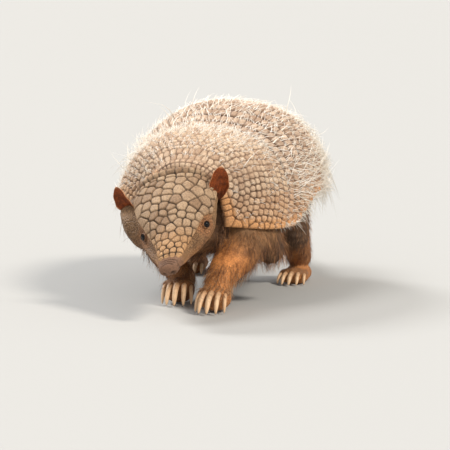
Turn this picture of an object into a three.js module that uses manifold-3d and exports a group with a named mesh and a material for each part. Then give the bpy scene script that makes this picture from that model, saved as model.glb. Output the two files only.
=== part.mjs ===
// A six-banded armadillo as a life-size display model, walking with its head lowered.
// Millimetres. +Z is up, the animal faces -Y, its left is +X and the floor is z = 0.
// The body is laid out round a point on the floor under the highest part of the back, and the
// finished group is moved so that its origin is on the floor under the middle of its box.
import * as THREE from "three";
import { mergeVertices } from "three/addons/utils/BufferGeometryUtils.js";
import Module from "manifold-3d";

const wasm = await Module();
wasm.setup();

// ---------------------------------------------------------------- driving dimensions
const GAP = 0.35; // free space between neighbouring pieces
const ROOM = 1.1; // space that a large curved neighbour is given, more than the gap for its flats
const FLESH = "#9a6238";
const SHELL = "#c9a983";
const HORN = "#bb9a72";
const EAR = "#7c4426";

// Cross sections of the shell, from the neck to the root of the tail: y and z of the middle of
// the arch, half width, height of the arch, lean of the section (degrees, back is positive) and
// depth of the belly below the middle.
const BODY = [
  [-130, 86, 46, 57, -8, 25],
  [-113, 86, 67, 69, 1, 31],
  [-96, 86, 79, 77, 13, 36],
  [-76, 86, 84.5, 84, 21, 41],
  [-46, 86, 89, 95, 23, 41],
  [-12, 86, 90, 100, 23, 40],
  [24, 86, 89, 97, 26, 39],
  [56, 85, 83, 87, 34, 37],
  [80, 83, 73, 72, 47, 33],
  [94, 80, 57, 55, 63, 26],
];
const BODY_ROLL = 5; // the body leans to its left, so its right side is higher
const ARCH_POWER = 2.38; // 2 is an ellipse, more is squarer
const SHELL_THICK = 3;
const EDGE_ANGLE = 93; // where the shell ends on each side, in degrees from the top
const BAND_COUNT = 7;
const SCAPULAR_END = 0.27; // shares of the length of the back, measured along its top
const PELVIC_START = 0.62;
const PLATE_TUCK = 0.9; // how far the front edge of a plate lies below the smooth surface
const PLATE_LIFT = 0.7; // how far its rear edge stands above it
const FACET_ROOM = 0.8; // allowance for the flats that stand in for curves
const SHELL_ROOM = PLATE_TUCK + SHELL_THICK + GAP + FACET_ROOM;
const EDGE_HOLLOW = 9; // how far the flank draws in under the rim of the shell
const HOLLOW_FROM = 0.52; // where the flank starts and ends drawing in: sines of half the angle
const HOLLOW_TO = 0.74;
const TRUNK_DOME = 0.07; // share of the length taken by the dome at each end of the trunk
const HEAD_DOME = 0.1; // the same for the head
const ARCH_RADIUS = 80; // about how far the shell's rim lies from the middle of the arch
const SHIELD_RADIUS = 30; // the same for the head shield
const NAPE_RADIUS = 45; // and for the nape plate

// The head in its own frame: origin at the tip of the nose, +y back, +z up.
// Rows: y, half width, top, bottom.
const HEAD = [
  [2.5, 7.5, 2, -7],
  [9, 11.5, 5.5, -11],
  [22, 16, 10.5, -14.5],
  [37, 23, 15.5, -18],
  [54, 31, 21.5, -22],
  [72, 38.5, 27, -26],
  [92, 42.5, 31, -29],
  [109, 41, 32.5, -31],
  [119, 33, 27, -26],
];
const HEAD_POWER = 2.35;
const NOSE_TIP = [16, -241, 57.5];
const HEAD_PITCH = 23; // nose down
const HEAD_ROLL = -13.8; // left side up
const HEAD_YAW = 12; // towards its left
const SHIELD = { from: 17, to: 117, thick: 2.4, proud: 0.6, noseAngle: 62, eyeAngle: 64, backAngle: 63 };

const EYE = { x: 30.5, y: 54, z: 4.5, radius: 4.3, sink: 1.8 };
const EAR_SHAPE = { root: [39, 97, 12], width: 18, thick: 2.8, cup: 5, outwards: [0.82, 0.57] };
const EAR_TIP = { left: [56, 104, 36], right: [53, 105, 37] };

// ---------------------------------------------------------------- shared shape makers
const { degToRad, clamp, lerp, smoothstep } = THREE.MathUtils;
const vec = (p) => new THREE.Vector3(...p);

// A smooth curve through rows of three numbers. Its value at i / (rows - 1) is row i.
const through = (rows) => new THREE.CatmullRomCurve3(rows.map(vec), false, "catmullrom", 0.5);

// Moves every vertex of a geometry to shape(u, v, position), where u and v are its texture place.
function reshaped(geometry, shape) {
  const at = geometry.getAttribute("position");
  const uv = geometry.getAttribute("uv");
  const p = new THREE.Vector3();
  for (let i = 0; i < at.count; i += 1) {
    const q = shape(uv.getX(i), uv.getY(i), p.fromBufferAttribute(at, i));
    at.setXYZ(i, q.x, q.y, q.z);
  }
  return geometry;
}

// A closed geometry as a manifold-3d solid with its faces outwards.
function solidOf(geometry) {
  const bare = (geometry.index ? geometry.toNonIndexed() : geometry.clone()).deleteAttribute("normal");
  if (bare.getAttribute("uv")) bare.deleteAttribute("uv");
  const merged = mergeVertices(bare, 1e-3);
  const make = (triVerts) =>
    new wasm.Manifold(
      new wasm.Mesh({ numProp: 3, vertProperties: merged.getAttribute("position").array, triVerts }),
    );
  const forwards = new Uint32Array(merged.index.array);
  const solid = make(forwards);
  return solid.volume() > 0 ? solid : make(forwards.reverse());
}

function geometryOf(solid) {
  const { vertProperties, triVerts } = solid.getMesh();
  const geometry = new THREE.BufferGeometry();
  geometry.setAttribute("position", new THREE.BufferAttribute(new Float32Array(vertProperties), 3));
  geometry.setIndex(new THREE.BufferAttribute(new Uint32Array(triVerts), 1));
  return geometry;
}

// A slab bent onto a surface. place(along, across, depth) takes 0..1, -1..1 and 0 (outside) or 1.
function slab(alongSteps, acrossSteps, place) {
  const box = new THREE.BoxGeometry(1, 2, 1, alongSteps, acrossSteps, 1);
  return solidOf(reshaped(box, (u, v, p) => place(p.x + 0.5, p.y, 0.5 - p.z)));
}

// A closed round body. ring(t, angle) gives the skin at t from 0 to 1; both ends close as domes.
function bodyOf(aroundSteps, alongSteps, ring) {
  const ball = new THREE.SphereGeometry(1, aroundSteps, alongSteps);
  return solidOf(reshaped(ball, (u, v) => ring(1 - v, 2 * Math.PI * (u % 1))));
}

const power = (x, exponent) => Math.sign(x) * Math.abs(x) ** exponent;

// How round the end of a body is at t, when each end's dome takes a share of its length.
const domeAt = (t, share) => {
  const end = clamp(Math.min(t, 1 - t) / share, 0, 1);
  return { end, dome: Math.sqrt(1 - (1 - end) ** 2) };
};

// A limb, tail or claw: a curve with a half width and a half depth at each of its points. The
// widths are measured along the side direction, and the last share of each end is rounded off.
function limb({ rows, side, around = 14, along = 12, grow = 0, round = 0.16 }) {
  const line = through(rows.map((r) => r.slice(0, 3)));
  const sizes = through(rows.map((r) => [r[3], r[4], 0]));
  const across = vec(side).normalize();
  return bodyOf(around, along, (t, angle) => {
    const { end, dome } = domeAt(t, round);
    const more = dome > 0 ? grow : 0;
    const point = line.getPoint(t);
    const forward = line.getTangent(t);
    const out = across.clone().addScaledVector(forward, -across.dot(forward)).normalize();
    const up = forward.clone().cross(out);
    const size = sizes.getPoint(t);
    return point
      .addScaledVector(out, Math.cos(angle) * (size.x * dome + more))
      .addScaledVector(up, Math.sin(angle) * (size.y * dome + more))
      .addScaledVector(forward, (t < 0.5 ? -grow : grow) * (1 - end));
  });
}

const floorCut = solidOf(new THREE.BoxGeometry(900, 900, 60).translate(0, 0, -30));

// ---------------------------------------------------------------- trunk and shell
const bodyMiddle = through(BODY.map(([y, z, , , lean]) => [lean, y, z]));
const bodySizes = through(BODY.map(([, , width, height, , belly]) => [width, height, belly]));

// The point of the body's surface at t along it and an angle from the top. inset goes inwards.
// With a belly the section closes underneath, and its flank draws in by hollow.
function bodyPoint(t, angle, inset, hasBelly = false, hollow = 0) {
  const { x: lean, y, z } = bodyMiddle.getPoint(t);
  const { x: width, y: height, z: belly } = bodySizes.getPoint(t);
  const halfSine = Math.abs(Math.sin(angle / 2));
  const draw = hollow * smoothstep(halfSine, HOLLOW_FROM, HOLLOW_TO);
  const x = (width - inset - draw) * power(Math.sin(angle), 2 / ARCH_POWER);
  const isBelow = hasBelly && halfSine > Math.sin(degToRad(EDGE_ANGLE / 2));
  const reach = isBelow ? belly + SHELL_ROOM - inset : height - inset;
  const rise = power(Math.cos(angle), 2 / ARCH_POWER) * reach;
  const tilt = degToRad(lean);
  const roll = degToRad(BODY_ROLL);
  const upright = rise * Math.cos(tilt);
  return new THREE.Vector3(
    x * Math.cos(roll) + upright * Math.sin(roll),
    y + rise * Math.sin(tilt),
    z + upright * Math.cos(roll) - x * Math.sin(roll),
  );
}

// The share of the back's length along its top, turned into the curve's own t.
const backSteps = 160;
const backLengths = [0];
for (let i = 1; i <= backSteps; i += 1) {
  const step = bodyPoint(i / backSteps, 0, 0).distanceTo(bodyPoint((i - 1) / backSteps, 0, 0));
  backLengths.push(backLengths[i - 1] + step);
}
const backLength = backLengths[backSteps];
function backAt(share) {
  const wanted = clamp(share, 0, 1) * backLength;
  const i = clamp(backLengths.findIndex((l) => l >= wanted), 1, backSteps);
  const part = (wanted - backLengths[i - 1]) / (backLengths[i] - backLengths[i - 1]);
  return (i - 1 + part) / backSteps;
}

// A point of the shell at a share of the back's length. Past either end it runs straight on.
function shellPoint(share, angle, inset) {
  const inside = clamp(share, 0, 1);
  const here = bodyPoint(backAt(inside), angle, inset);
  if (share === inside) return here;
  const near = bodyPoint(backAt(inside === 0 ? 0.01 : 0.99), angle, inset);
  return here.add(here.clone().sub(near).setLength(Math.abs(share - inside) * backLength));
}

// A plate of the shell between two shares of the back. Its front edge tucks in, its rear lifts.
function shellPlate({ from, to, alongSteps, acrossSteps }, grow = 0) {
  const half = degToRad(EDGE_ANGLE) + grow / ARCH_RADIUS;
  return slab(alongSteps, acrossSteps, (along, across, depth) => {
    const share = lerp(from - grow / backLength, to + grow / backLength, along);
    const inset = lerp(PLATE_TUCK, -PLATE_LIFT, along) + (depth > 0.5 ? SHELL_THICK + grow : -grow);
    return shellPoint(share, across * half, inset);
  });
}

const HALF_GAP = GAP / backLength;
const bandLength = (PELVIC_START - SCAPULAR_END) / BAND_COUNT;

function trunkSolid(grow = 0, hollow = EDGE_HOLLOW) {
  return bodyOf(24, 13, (t, angle) => {
    const { end, dome } = domeAt(t, TRUNK_DOME);
    const inner = bodyPoint(clamp(t, 0, 1), angle, SHELL_ROOM - grow, true, hollow);
    const core = bodyMiddle.getPoint(t);
    const past = (t < 0.5 ? -1.5 : 1.5) * grow * (1 - end);
    return new THREE.Vector3(0, core.y, core.z).lerp(inner, dome).add(vec([0, past, 0]));
  });
}

// ---------------------------------------------------------------- head
const headMiddle = through(HEAD.map(([y, , top, bottom]) => [y, top, bottom]));
const headWidth = through(HEAD.map(([, width]) => [width, 0, 0]));

function headPoint(t, angle, inset) {
  const { x: y, y: top, z: bottom } = headMiddle.getPoint(t);
  const middle = lerp(bottom, top, 0.5);
  const reach = Math.cos(angle) > 0 ? top - middle : middle - bottom;
  const width = headWidth.getPoint(t).x;
  return new THREE.Vector3(
    (width - inset) * power(Math.sin(angle), 2 / HEAD_POWER),
    y,
    middle + (reach - inset) * power(Math.cos(angle), 2 / HEAD_POWER),
  );
}

// The curve's t at a distance y behind the nose.
function headAt(y) {
  let [low, high] = [0, 1];
  for (let i = 0; i < 30; i += 1) {
    const half = (low + high) / 2;
    if (headMiddle.getPoint(half).x < y) low = half;
    else high = half;
  }
  return low;
}

function headLoft(grow = 0) {
  return bodyOf(20, 14, (t, angle) => {
    const { end, dome } = domeAt(t, HEAD_DOME);
    const core = headPoint(t, Math.PI / 2, 0);
    const bulge = (t < 0.5 ? -2.5 - grow : 6 + grow) * (1 - end);
    return new THREE.Vector3(0, core.y, core.z)
      .lerp(headPoint(t, angle, -grow), dome)
      .add(vec([0, bulge, 0]));
  });
}

// How far down each side the head shield reaches, at a distance behind the nose.
function shieldAngle(y) {
  const { from, to, noseAngle, eyeAngle, backAngle } = SHIELD;
  const middle = EYE.y;
  return y < middle
    ? lerp(noseAngle, eyeAngle, (y - from) / (middle - from))
    : lerp(eyeAngle, backAngle, (y - middle) / (to - middle));
}

function headShield(grow = 0) {
  return slab(8, 10, (along, across, depth) => {
    const y = lerp(SHIELD.from - grow, SHIELD.to + grow, along);
    const half = degToRad(shieldAngle(clamp(y, SHIELD.from, SHIELD.to))) + grow / SHIELD_RADIUS;
    const inset = lerp(-SHIELD.proud, SHIELD.thick - SHIELD.proud, depth) + (depth > 0.5 ? grow : -grow);
    return headPoint(headAt(y), across * half, inset);
  });
}

const headFrame = new THREE.Matrix4().compose(
  vec(NOSE_TIP),
  new THREE.Quaternion().setFromEuler(
    new THREE.Euler(degToRad(HEAD_PITCH), degToRad(HEAD_ROLL), degToRad(HEAD_YAW), "ZXY"),
  ),
  new THREE.Vector3(1, 1, 1),
);
const placed = (solid) => solid.transform(headFrame.elements);

const eyeBall = (side, grow = 0) =>
  solidOf(
    new THREE.SphereGeometry(EYE.radius + grow, 10, 7).translate(side * (EYE.x - EYE.sink), EYE.y, EYE.z),
  );

// An oval leaf, cupped forwards and narrow at its root.
function earSolid(side, [tipX, tipY, tipZ], grow = 0) {
  const root = vec([side * EAR_SHAPE.root[0], EAR_SHAPE.root[1], EAR_SHAPE.root[2]]);
  const tip = vec([side * tipX, tipY, tipZ]);
  const long = tip.clone().sub(root);
  const up = long.clone().normalize();
  const across = vec([side * EAR_SHAPE.outwards[0], EAR_SHAPE.outwards[1], 0]);
  across.addScaledVector(up, -across.dot(up)).normalize();
  const back = across.clone().cross(up).multiplyScalar(side);
  return bodyOf(12, 9, (t, angle) => {
    const edge = Math.sqrt(Math.max(0, 1 - (2 * t - 1) ** 2)) * (0.78 + 0.3 * t);
    const more = edge > 0 ? grow : 0;
    const half = EAR_SHAPE.width / 2;
    const sideways = Math.cos(angle) * (edge * half + more);
    const curl = EAR_SHAPE.cup * (sideways / half) ** 2;
    const thin = Math.sin(angle) * ((EAR_SHAPE.thick / 2) * Math.min(1, 1.6 * edge) + more);
    return root
      .clone()
      .addScaledVector(long, t)
      .addScaledVector(across, sideways)
      .addScaledVector(back, thin - curl);
  });
}

// ---------------------------------------------------------------- neck and nape plate
// Rows: x, y, z, half width, half height, from inside the head to inside the trunk. The skin of
// the neck bulges on the right, because the head is turned to the left.
const inHead = vec([0, 82, -4]).applyMatrix4(headFrame);
const NECK = [
  [inHead.x, inHead.y, inHead.z, 30, 26],
  [-9, -139, 87, 46, 36],
  [-6, -124, 89, 49, 41],
  [0, -104, 92, 49, 44],
  [0, -84, 94, 46, 42],
];
const NECK_DOME = 0.2;
const neckLine = through(NECK.map((r) => r.slice(0, 3)));
const neckSizes = through(NECK.map((r) => [r[3], r[4], 0]));

function neckPoint(t, angle, inset) {
  const forward = neckLine.getTangent(t);
  const out = vec([1, 0, 0]).addScaledVector(forward, -forward.x).normalize();
  const up = out.clone().cross(forward).normalize();
  const size = neckSizes.getPoint(t);
  return neckLine
    .getPoint(t)
    .addScaledVector(out, Math.sin(angle) * (size.x - inset))
    .addScaledVector(up, Math.cos(angle) * (size.y - inset));
}

const neckSolid = (grow = 0) =>
  bodyOf(18, 8, (t, angle) =>
    neckLine.getPoint(t).lerp(neckPoint(t, angle, -grow), domeAt(t, NECK_DOME).dome),
  );

// A narrow plate of its own in front of the shell, which runs on from the shell's surface.
const NAPE_PLATE = { reach: 13, tuck: 4, half: 52, inset: 1.4, thick: 2.6 };
function napePlate(grow = 0) {
  const from = -(NAPE_PLATE.reach + grow) / backLength;
  const to = (NAPE_PLATE.tuck + grow) / backLength;
  const half = degToRad(NAPE_PLATE.half) + grow / NAPE_RADIUS;
  return slab(2, 10, (along, across, depth) => {
    const inset = NAPE_PLATE.inset + (depth > 0.5 ? NAPE_PLATE.thick + grow : -grow);
    return shellPoint(lerp(from, to, along), across * half, inset);
  });
}

// ---------------------------------------------------------------- legs, paws and claws
// Each row of a leg: x, y, z, half width, half depth. The upper part runs from inside the trunk to
// the elbow or knee, the lower part to the wrist or ankle, and the paw to the knuckles.
const LEGS = {
  foreleg_left: {
    upper: [
      [48, -98, 86, 18, 22],
      [60, -88, 66, 17, 20],
      [66, -79, 51, 14.5, 17],
      [67, -74, 37, 12, 13],
    ],
    lower: [
      [54, -92, 84, 18, 22],
      [52, -103, 66, 20, 21],
      [45, -115, 51, 20, 18.5],
      [37, -127, 38, 17, 15.5],
      [33, -137, 28, 13.5, 12.5],
      [32, -142, 22, 12, 11],
    ],
    paw: [
      [33, -134, 19, 12.5, 13],
      [32, -147, 15, 15, 13],
      [31.5, -157, 14, 15.5, 11],
      [31, -163, 14, 13.5, 8.5],
    ],
    heading: [-0.02, -1, 0],
    claws: "fore",
  },
  foreleg_right: {
    upper: [
      [-42, -92, 92, 21, 26],
      [-48, -80, 72, 17, 23],
      [-47, -70, 54, 14.5, 19],
      [-45, -66, 37, 13, 16],
    ],
    lower: [
      [-51, -60, 56, 13, 15],
      [-46, -72, 50, 14.5, 16],
      [-38, -80, 43, 14.5, 15],
      [-27, -88, 35, 13.5, 13.5],
      [-18, -97, 27, 12.5, 12.5],
      [-15, -101, 21, 12, 11],
    ],
    paw: [
      [-16, -94, 18, 12.5, 13],
      [-15, -106, 15, 15, 13],
      [-14, -116, 14, 15.5, 11],
      [-13.5, -122, 14, 13.5, 8.5],
    ],
    heading: [0.12, -1, 0],
    claws: "fore",
  },
  hindleg_left: {
    upper: [
      [45, 50, 92, 22, 30],
      [55, 42, 70, 18, 27],
      [60, 39, 50, 15.5, 21],
      [61, 37, 32, 13, 16],
    ],
    lower: [
      [60, 30, 56, 14, 16],
      [60, 41, 46, 14.5, 18],
      [60, 52, 34, 13.5, 15.5],
      [60, 62, 23, 12, 13],
      [60, 67, 14, 11.5, 12],
    ],
    paw: [
      [60, 77, 9.5, 11, 9.5],
      [60, 60, 9.5, 13, 9],
      [60, 40, 7.5, 14.5, 7],
      [60, 30, 6.5, 13, 6],
    ],
    heading: [0.03, -1, 0],
    claws: "hind",
  },
  hindleg_right: {
    upper: [
      [-44, 52, 94, 21, 30],
      [-53, 58, 72, 18, 27],
      [-57, 66, 50, 15.5, 21],
      [-57, 70, 33, 13, 16],
    ],
    lower: [
      [-57, 60, 56, 14, 16],
      [-57, 72, 47, 14.5, 18],
      [-57, 85, 36, 13.5, 15.5],
      [-56, 99, 25, 12, 13],
      [-56, 106, 15, 11.5, 12],
    ],
    paw: [
      [-56, 117, 9.5, 11, 9.5],
      [-56, 100, 9.5, 13, 9],
      [-55, 80, 7.5, 14.5, 7],
      [-54.5, 70, 6.5, 13, 6],
    ],
    heading: [0.03, -1, 0],
    claws: "hind",
  },
};
const SOLE = -1.6; // how far a paw's rounded underside would reach below the floor before it is cut flat
// Claws from the inner to the outer toe: place across the knuckles (-1 is the inner side), reach
// ahead of the knuckle and width. The fore claws stand steeply on their tips.
const CLAWS = {
  fore: [
    [-0.9, 12, 4.8],
    [-0.47, 19, 6.2],
    [0.02, 21, 7],
    [0.48, 18, 6.2],
    [0.88, 11, 4.8],
  ],
  hind: [
    [-0.86, 12, 4.2],
    [-0.45, 16, 5.2],
    [0, 18, 5.8],
    [0.45, 16, 5.2],
    [0.86, 12, 4.2],
  ],
};

const legSolid = ({ upper, lower }) =>
  limb({ rows: upper, side: [1, 0, 0], around: 12, along: 7, round: 0.3 }).add(
    limb({ rows: lower, side: [1, 0, 0], around: 12, along: 8, round: 0.2 }),
  );
const pawSolid = ({ paw }, grow = 0) =>
  limb({
    rows: paw.map(([x, y, z, w, d]) => [x, y, z + SOLE, w, d]),
    side: [1, 0, 0],
    around: 12,
    along: 7,
    grow,
    round: 0.3,
  }).subtract(floorCut);

// A claw arches from its knuckle down to the floor and ends in a narrow tip. The outermost
// claws start further back and lower, and fan outwards.
const KNUCKLE = { height: 0.35, back: 2, curveBack: 5, curveDown: 2, fan: 0.2 };
const CLAW_ARCH = { peak: 0.62, rise: 1.5, tipHeight: 0.2, taper: 0.5, flatness: 0.95 };
function clawSolid(spec, outward, [place, reach, width], grow = 0) {
  const [x, y, z, half, depth] = spec.paw[spec.paw.length - 1];
  const heading = vec(spec.heading).normalize();
  const side = vec([-heading.y, heading.x, 0]).multiplyScalar(outward);
  const root = vec([x, y, z + depth * KNUCKLE.height - KNUCKLE.curveDown * place * place])
    .addScaledVector(side, place * half)
    .addScaledVector(heading, -KNUCKLE.back - KNUCKLE.curveBack * place * place);
  const ahead = heading.clone().addScaledVector(side, KNUCKLE.fan * place).normalize();
  const tip = root.clone().addScaledVector(ahead, reach).setZ(width * CLAW_ARCH.tipHeight);
  const arch = root
    .clone()
    .addScaledVector(ahead, reach * CLAW_ARCH.peak)
    .setZ(root.z + CLAW_ARCH.rise);
  const line = new THREE.QuadraticBezierCurve3(root, arch, tip);
  const rows = [0, 0.33, 0.67, 1].map((t) => {
    const halfWidth = (width / 2) * (1 - CLAW_ARCH.taper * t * t);
    return [...line.getPoint(t).toArray(), halfWidth, halfWidth * CLAW_ARCH.flatness];
  });
  return limb({ rows, side: side.toArray(), around: 6, along: 5, grow, round: 0.3 }).subtract(floorCut);
}

// ---------------------------------------------------------------- tail
const TAIL = [
  [0, 108, 80, 18, 16],
  [-2, 132, 73, 15.5, 14.5],
  [-7, 164, 62, 12, 11.5],
  [-14, 200, 50, 9.2, 9],
  [-21, 236, 41, 6.8, 6.6],
  [-26, 270, 36, 4.6, 4.5],
  [-29, 302, 34, 2.6, 2.6],
];

// ---------------------------------------------------------------- the pieces
const model = new THREE.Group();

function add(name, solid, colour, roughness = 0.75) {
  const material = new THREE.MeshStandardMaterial({ color: colour, roughness, metalness: 0 });
  const mesh = new THREE.Mesh(geometryOf(solid), material);
  mesh.name = name;
  model.add(mesh);
}

// Takes every cutter out of a solid and keeps the largest of what is left.
function without(solid, ...cutters) {
  const rest = cutters.reduce((kept, cutter) => kept.subtract(cutter), solid);
  return rest.decompose().reduce((a, b) => (a.volume() > b.volume() ? a : b));
}

const plates = {
  scapular_shield: { from: 0, to: SCAPULAR_END - HALF_GAP, alongSteps: 5, acrossSteps: 16 },
  pelvic_shield: { from: PELVIC_START + HALF_GAP, to: 1, alongSteps: 7, acrossSteps: 16 },
};
for (let i = 0; i < BAND_COUNT; i += 1) {
  const from = SCAPULAR_END + i * bandLength + HALF_GAP;
  plates[`band_${i + 1}`] = { from, to: from + bandLength - 2 * HALF_GAP, alongSteps: 1, acrossSteps: 16 };
}

const trunk = trunkSolid();
const trunkRoom = trunkSolid(ROOM);
const legCut = trunkSolid(ROOM, 0);
const tailSolid = (grow = 0) =>
  limb({ rows: TAIL, side: [1, 0, 0], around: 10, along: 12, round: 0.06, grow });
const shellRoom = Object.values(plates)
  .map((plate) => shellPlate(plate, ROOM))
  .reduce((all, plate) => all.add(plate));

const sides = { left: 1, right: -1 };
const skull = placed(headLoft());
const ears = Object.fromEntries(
  Object.entries(sides).map(([s, k]) => [s, placed(earSolid(k, EAR_TIP[s]))]),
);
const earRooms = Object.entries(sides).map(([s, k]) => placed(earSolid(k, EAR_TIP[s], GAP)));
const eyes = Object.fromEntries(Object.entries(sides).map(([s, k]) => [s, placed(eyeBall(k))]));
const eyeRooms = Object.entries(sides).map(([, k]) => placed(eyeBall(k, GAP)));
const shield = without(placed(headShield()), ...eyeRooms, ...earRooms);
const shieldRoom = placed(headShield(ROOM));
const neckRoom = neckSolid(ROOM);
const napeRoom = napePlate(ROOM);

const head = without(skull, shieldRoom, ...eyeRooms, ...earRooms);
const headRoom = placed(headLoft(ROOM));

add("trunk", without(trunk, tailSolid(GAP), headRoom, napeRoom), FLESH);
add("neck", without(neckSolid(), headRoom, trunkRoom, napeRoom, shieldRoom, shellRoom), FLESH);
add("head", head, FLESH);
add("head_shield", shield, SHELL);
add("nape_plate", without(napePlate(), shieldRoom, headRoom, shellRoom), SHELL);
add("tail", tailSolid(), FLESH);
for (const [side, sign] of Object.entries(sides)) {
  add(`ear_${side}`, ears[side], EAR);
  add(`eye_${side}`, eyes[side], "#120d0b", 0.15);
}
for (const [name, plate] of Object.entries(plates)) add(name, shellPlate(plate), SHELL);

for (const [name, spec] of Object.entries(LEGS)) {
  const paw = pawSolid(spec);
  const outward = name.endsWith("left") ? 1 : -1;
  const part = name.replace("leg", "paw");
  const claws = CLAWS[spec.claws].map((claw) => clawSolid(spec, outward, claw, 0));
  const clawRooms = CLAWS[spec.claws].map((claw) => clawSolid(spec, outward, claw, GAP));
  add(name, without(legSolid(spec), legCut, neckRoom, shellRoom, pawSolid(spec, GAP), floorCut), FLESH);
  add(part, without(paw, ...clawRooms), FLESH);
  claws.forEach((claw, i) => add(`${part}_claw_${i + 1}`, claw, HORN, 0.45));
}

// The origin goes on the floor under the middle of the box.
const box = new THREE.Box3().setFromObject(model);
const middle = box.getCenter(new THREE.Vector3());
model.children.forEach((mesh) => mesh.geometry.translate(-middle.x, -middle.y, -box.min.z));

export default model;
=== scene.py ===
import math

import bmesh
import bpy
import numpy as np
from bpy.props import FloatProperty, FloatVectorProperty, PointerProperty
from mathutils import Matrix, Vector, kdtree, noise


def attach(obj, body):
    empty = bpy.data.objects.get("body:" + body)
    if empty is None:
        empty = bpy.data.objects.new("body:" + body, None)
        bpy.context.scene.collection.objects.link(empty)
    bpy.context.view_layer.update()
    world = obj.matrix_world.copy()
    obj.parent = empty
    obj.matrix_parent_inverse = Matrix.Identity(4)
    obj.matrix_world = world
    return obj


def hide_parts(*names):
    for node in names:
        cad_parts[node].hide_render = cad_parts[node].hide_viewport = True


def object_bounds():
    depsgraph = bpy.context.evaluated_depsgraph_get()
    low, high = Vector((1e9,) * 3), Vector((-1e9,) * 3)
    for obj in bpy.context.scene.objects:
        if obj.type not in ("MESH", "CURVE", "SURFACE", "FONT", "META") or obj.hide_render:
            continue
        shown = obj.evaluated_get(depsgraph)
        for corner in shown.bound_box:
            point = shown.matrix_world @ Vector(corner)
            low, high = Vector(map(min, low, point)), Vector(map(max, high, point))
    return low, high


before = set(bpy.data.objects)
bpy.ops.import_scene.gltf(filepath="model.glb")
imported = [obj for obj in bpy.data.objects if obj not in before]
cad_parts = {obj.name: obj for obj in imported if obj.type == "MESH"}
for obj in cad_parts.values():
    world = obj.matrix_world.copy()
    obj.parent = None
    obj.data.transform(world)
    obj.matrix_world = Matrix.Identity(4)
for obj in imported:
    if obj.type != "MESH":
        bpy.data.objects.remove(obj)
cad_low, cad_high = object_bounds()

bl_info = {
    "name": "Six-banded armadillo",
    "version": (1, 0, 0),
    "blender": (4, 5, 0),
    "location": "3D View > Sidebar > Armadillo",
    "description": "Makes the skin, shell, claws, eyes, ears and bristles of a life-size armadillo",
    "category": "Object",
}

# ---------- shape of the animal
# Millimetres, in the layout frame: +z up, the animal faces -y and its left is +x. The shared
# frame has its origin elsewhere, and LAYOUT_SHIFT takes one to the other.
MM = 0.001
LAYOUT_SHIFT = np.array((-0.1017, -31.0259, 0.0))

# Sections of the shell: y and z of the middle of the arch, half width, height of the arch,
# lean (degrees, back is positive) and depth of the belly below the middle.
BODY = (
    (-130, 86, 46, 57, -8, 25), (-113, 86, 67, 69, 1, 31), (-96, 86, 79, 77, 13, 36),
    (-76, 86, 84.5, 84, 21, 41), (-46, 86, 89, 95, 23, 41), (-12, 86, 90, 100, 23, 40),
    (24, 86, 89, 97, 26, 39), (56, 85, 83, 87, 34, 37), (80, 83, 73, 72, 47, 33),
    (94, 80, 57, 55, 63, 26),
)
BODY_ROLL = math.radians(5)
ARCH_POWER = 2.38
SHELL_THICK = 3.0
EDGE_ANGLE = math.radians(93)
BAND_COUNT = 7
SCAPULAR_END = 0.27
PELVIC_START = 0.62
PLATE_TUCK = 0.9
PLATE_LIFT = 0.7
SHELL_ROOM = 4.95
EDGE_HOLLOW = 9.0
HOLLOW_FROM, HOLLOW_TO = 0.52, 0.74
PLATE_GAP = 0.35
FRONT_REACH = (0.034, 0.01)  # of the front shield's left and right shoulder, as a share of the back
FRONT_BACK_OFF = (0.3, 1.0)  # and how much less its lower corners reach forward
EDGE_RISE, EDGE_RISES_OVER = 0.17, (0.34, 0.6)
NAPE_SEED, HEAD_SEED, TAIL_SEED = 5, 11, 23  # for the tones of their scutes
COARSER = 5  # steps of a plate's outer side to one step of its inner side
SHELL_GIRTH = 275
THINNEST = 0.02

# The head in its own frame: origin at the tip of the nose, +y back, +z up.
# Rows: y, half width, top, bottom.
HEAD = (
    (2.5, 8.5, 1.2, -7), (9, 12.5, 5.2, -11), (22, 16, 10.5, -14.5), (37, 23, 15.5, -18),
    (54, 31, 21.5, -22), (72, 38.5, 27, -26), (92, 42.5, 31, -29), (109, 41, 32.5, -31),
    (119, 33, 27, -26),
)
HEAD_POWER = 2.35
NOSE_TIP = np.array((16.0, -241.0, 57.5))
HEAD_TILT = (math.radians(23), math.radians(-13.8), math.radians(12))  # pitch, roll, yaw
SHIELD_FROM, SHIELD_TO = 6.0, 117.0
SHIELD_ANGLES = {  # how far down its sides it reaches, behind the nose: places and degrees
    "left": ((6, 10, 17, 50, 58, 68, 104, 117), (56, 62, 65, 63, 65, 79, 79, 66)),
    "right": ((6, 10, 17, 54, 117), (56, 62, 65, 65, 64)),
}
CHEEKS = (  # behind the nose, and how far the right and the left cheek bulge
    (4, 0, 0), (15, 3, 0), (26, 7, 0), (40, 7, 1), (54, 5, 1), (64, 10, 0), (78, 12, -2),
    (92, 13, -7), (105, 14, -6), (114, 10, -3), (119, 4, 0),
)
EYE_PLACE = (28.2, 53.5, 3.8)
EYE_RADIUS = 4.3
SNOUT_BEND, SNOUT_BEND_FROM = 5.0, 42.0
LEFT_NARROWING = 0.07
EAR_ROOT = (39.5, 97.0, 3.0)
SIDES = {"left": 1, "right": -1}
EAR_TIPS = {"left": (53.5, 104.0, 33.0), "right": (53.0, 105.0, 34.0)}
EAR_FACES = {"left": (0.3, -0.9, 0.3), "right": (0.6, -0.77, 0.2)}
EAR_WIDTH, EAR_THICK, EAR_CUP = 20.0, 2.4, 5.5
NOSE_PAD = {"middle": (-1.2, -5.6), "half": (10.2, 7.2), "from": -2.0, "to": 12.0}

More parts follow.
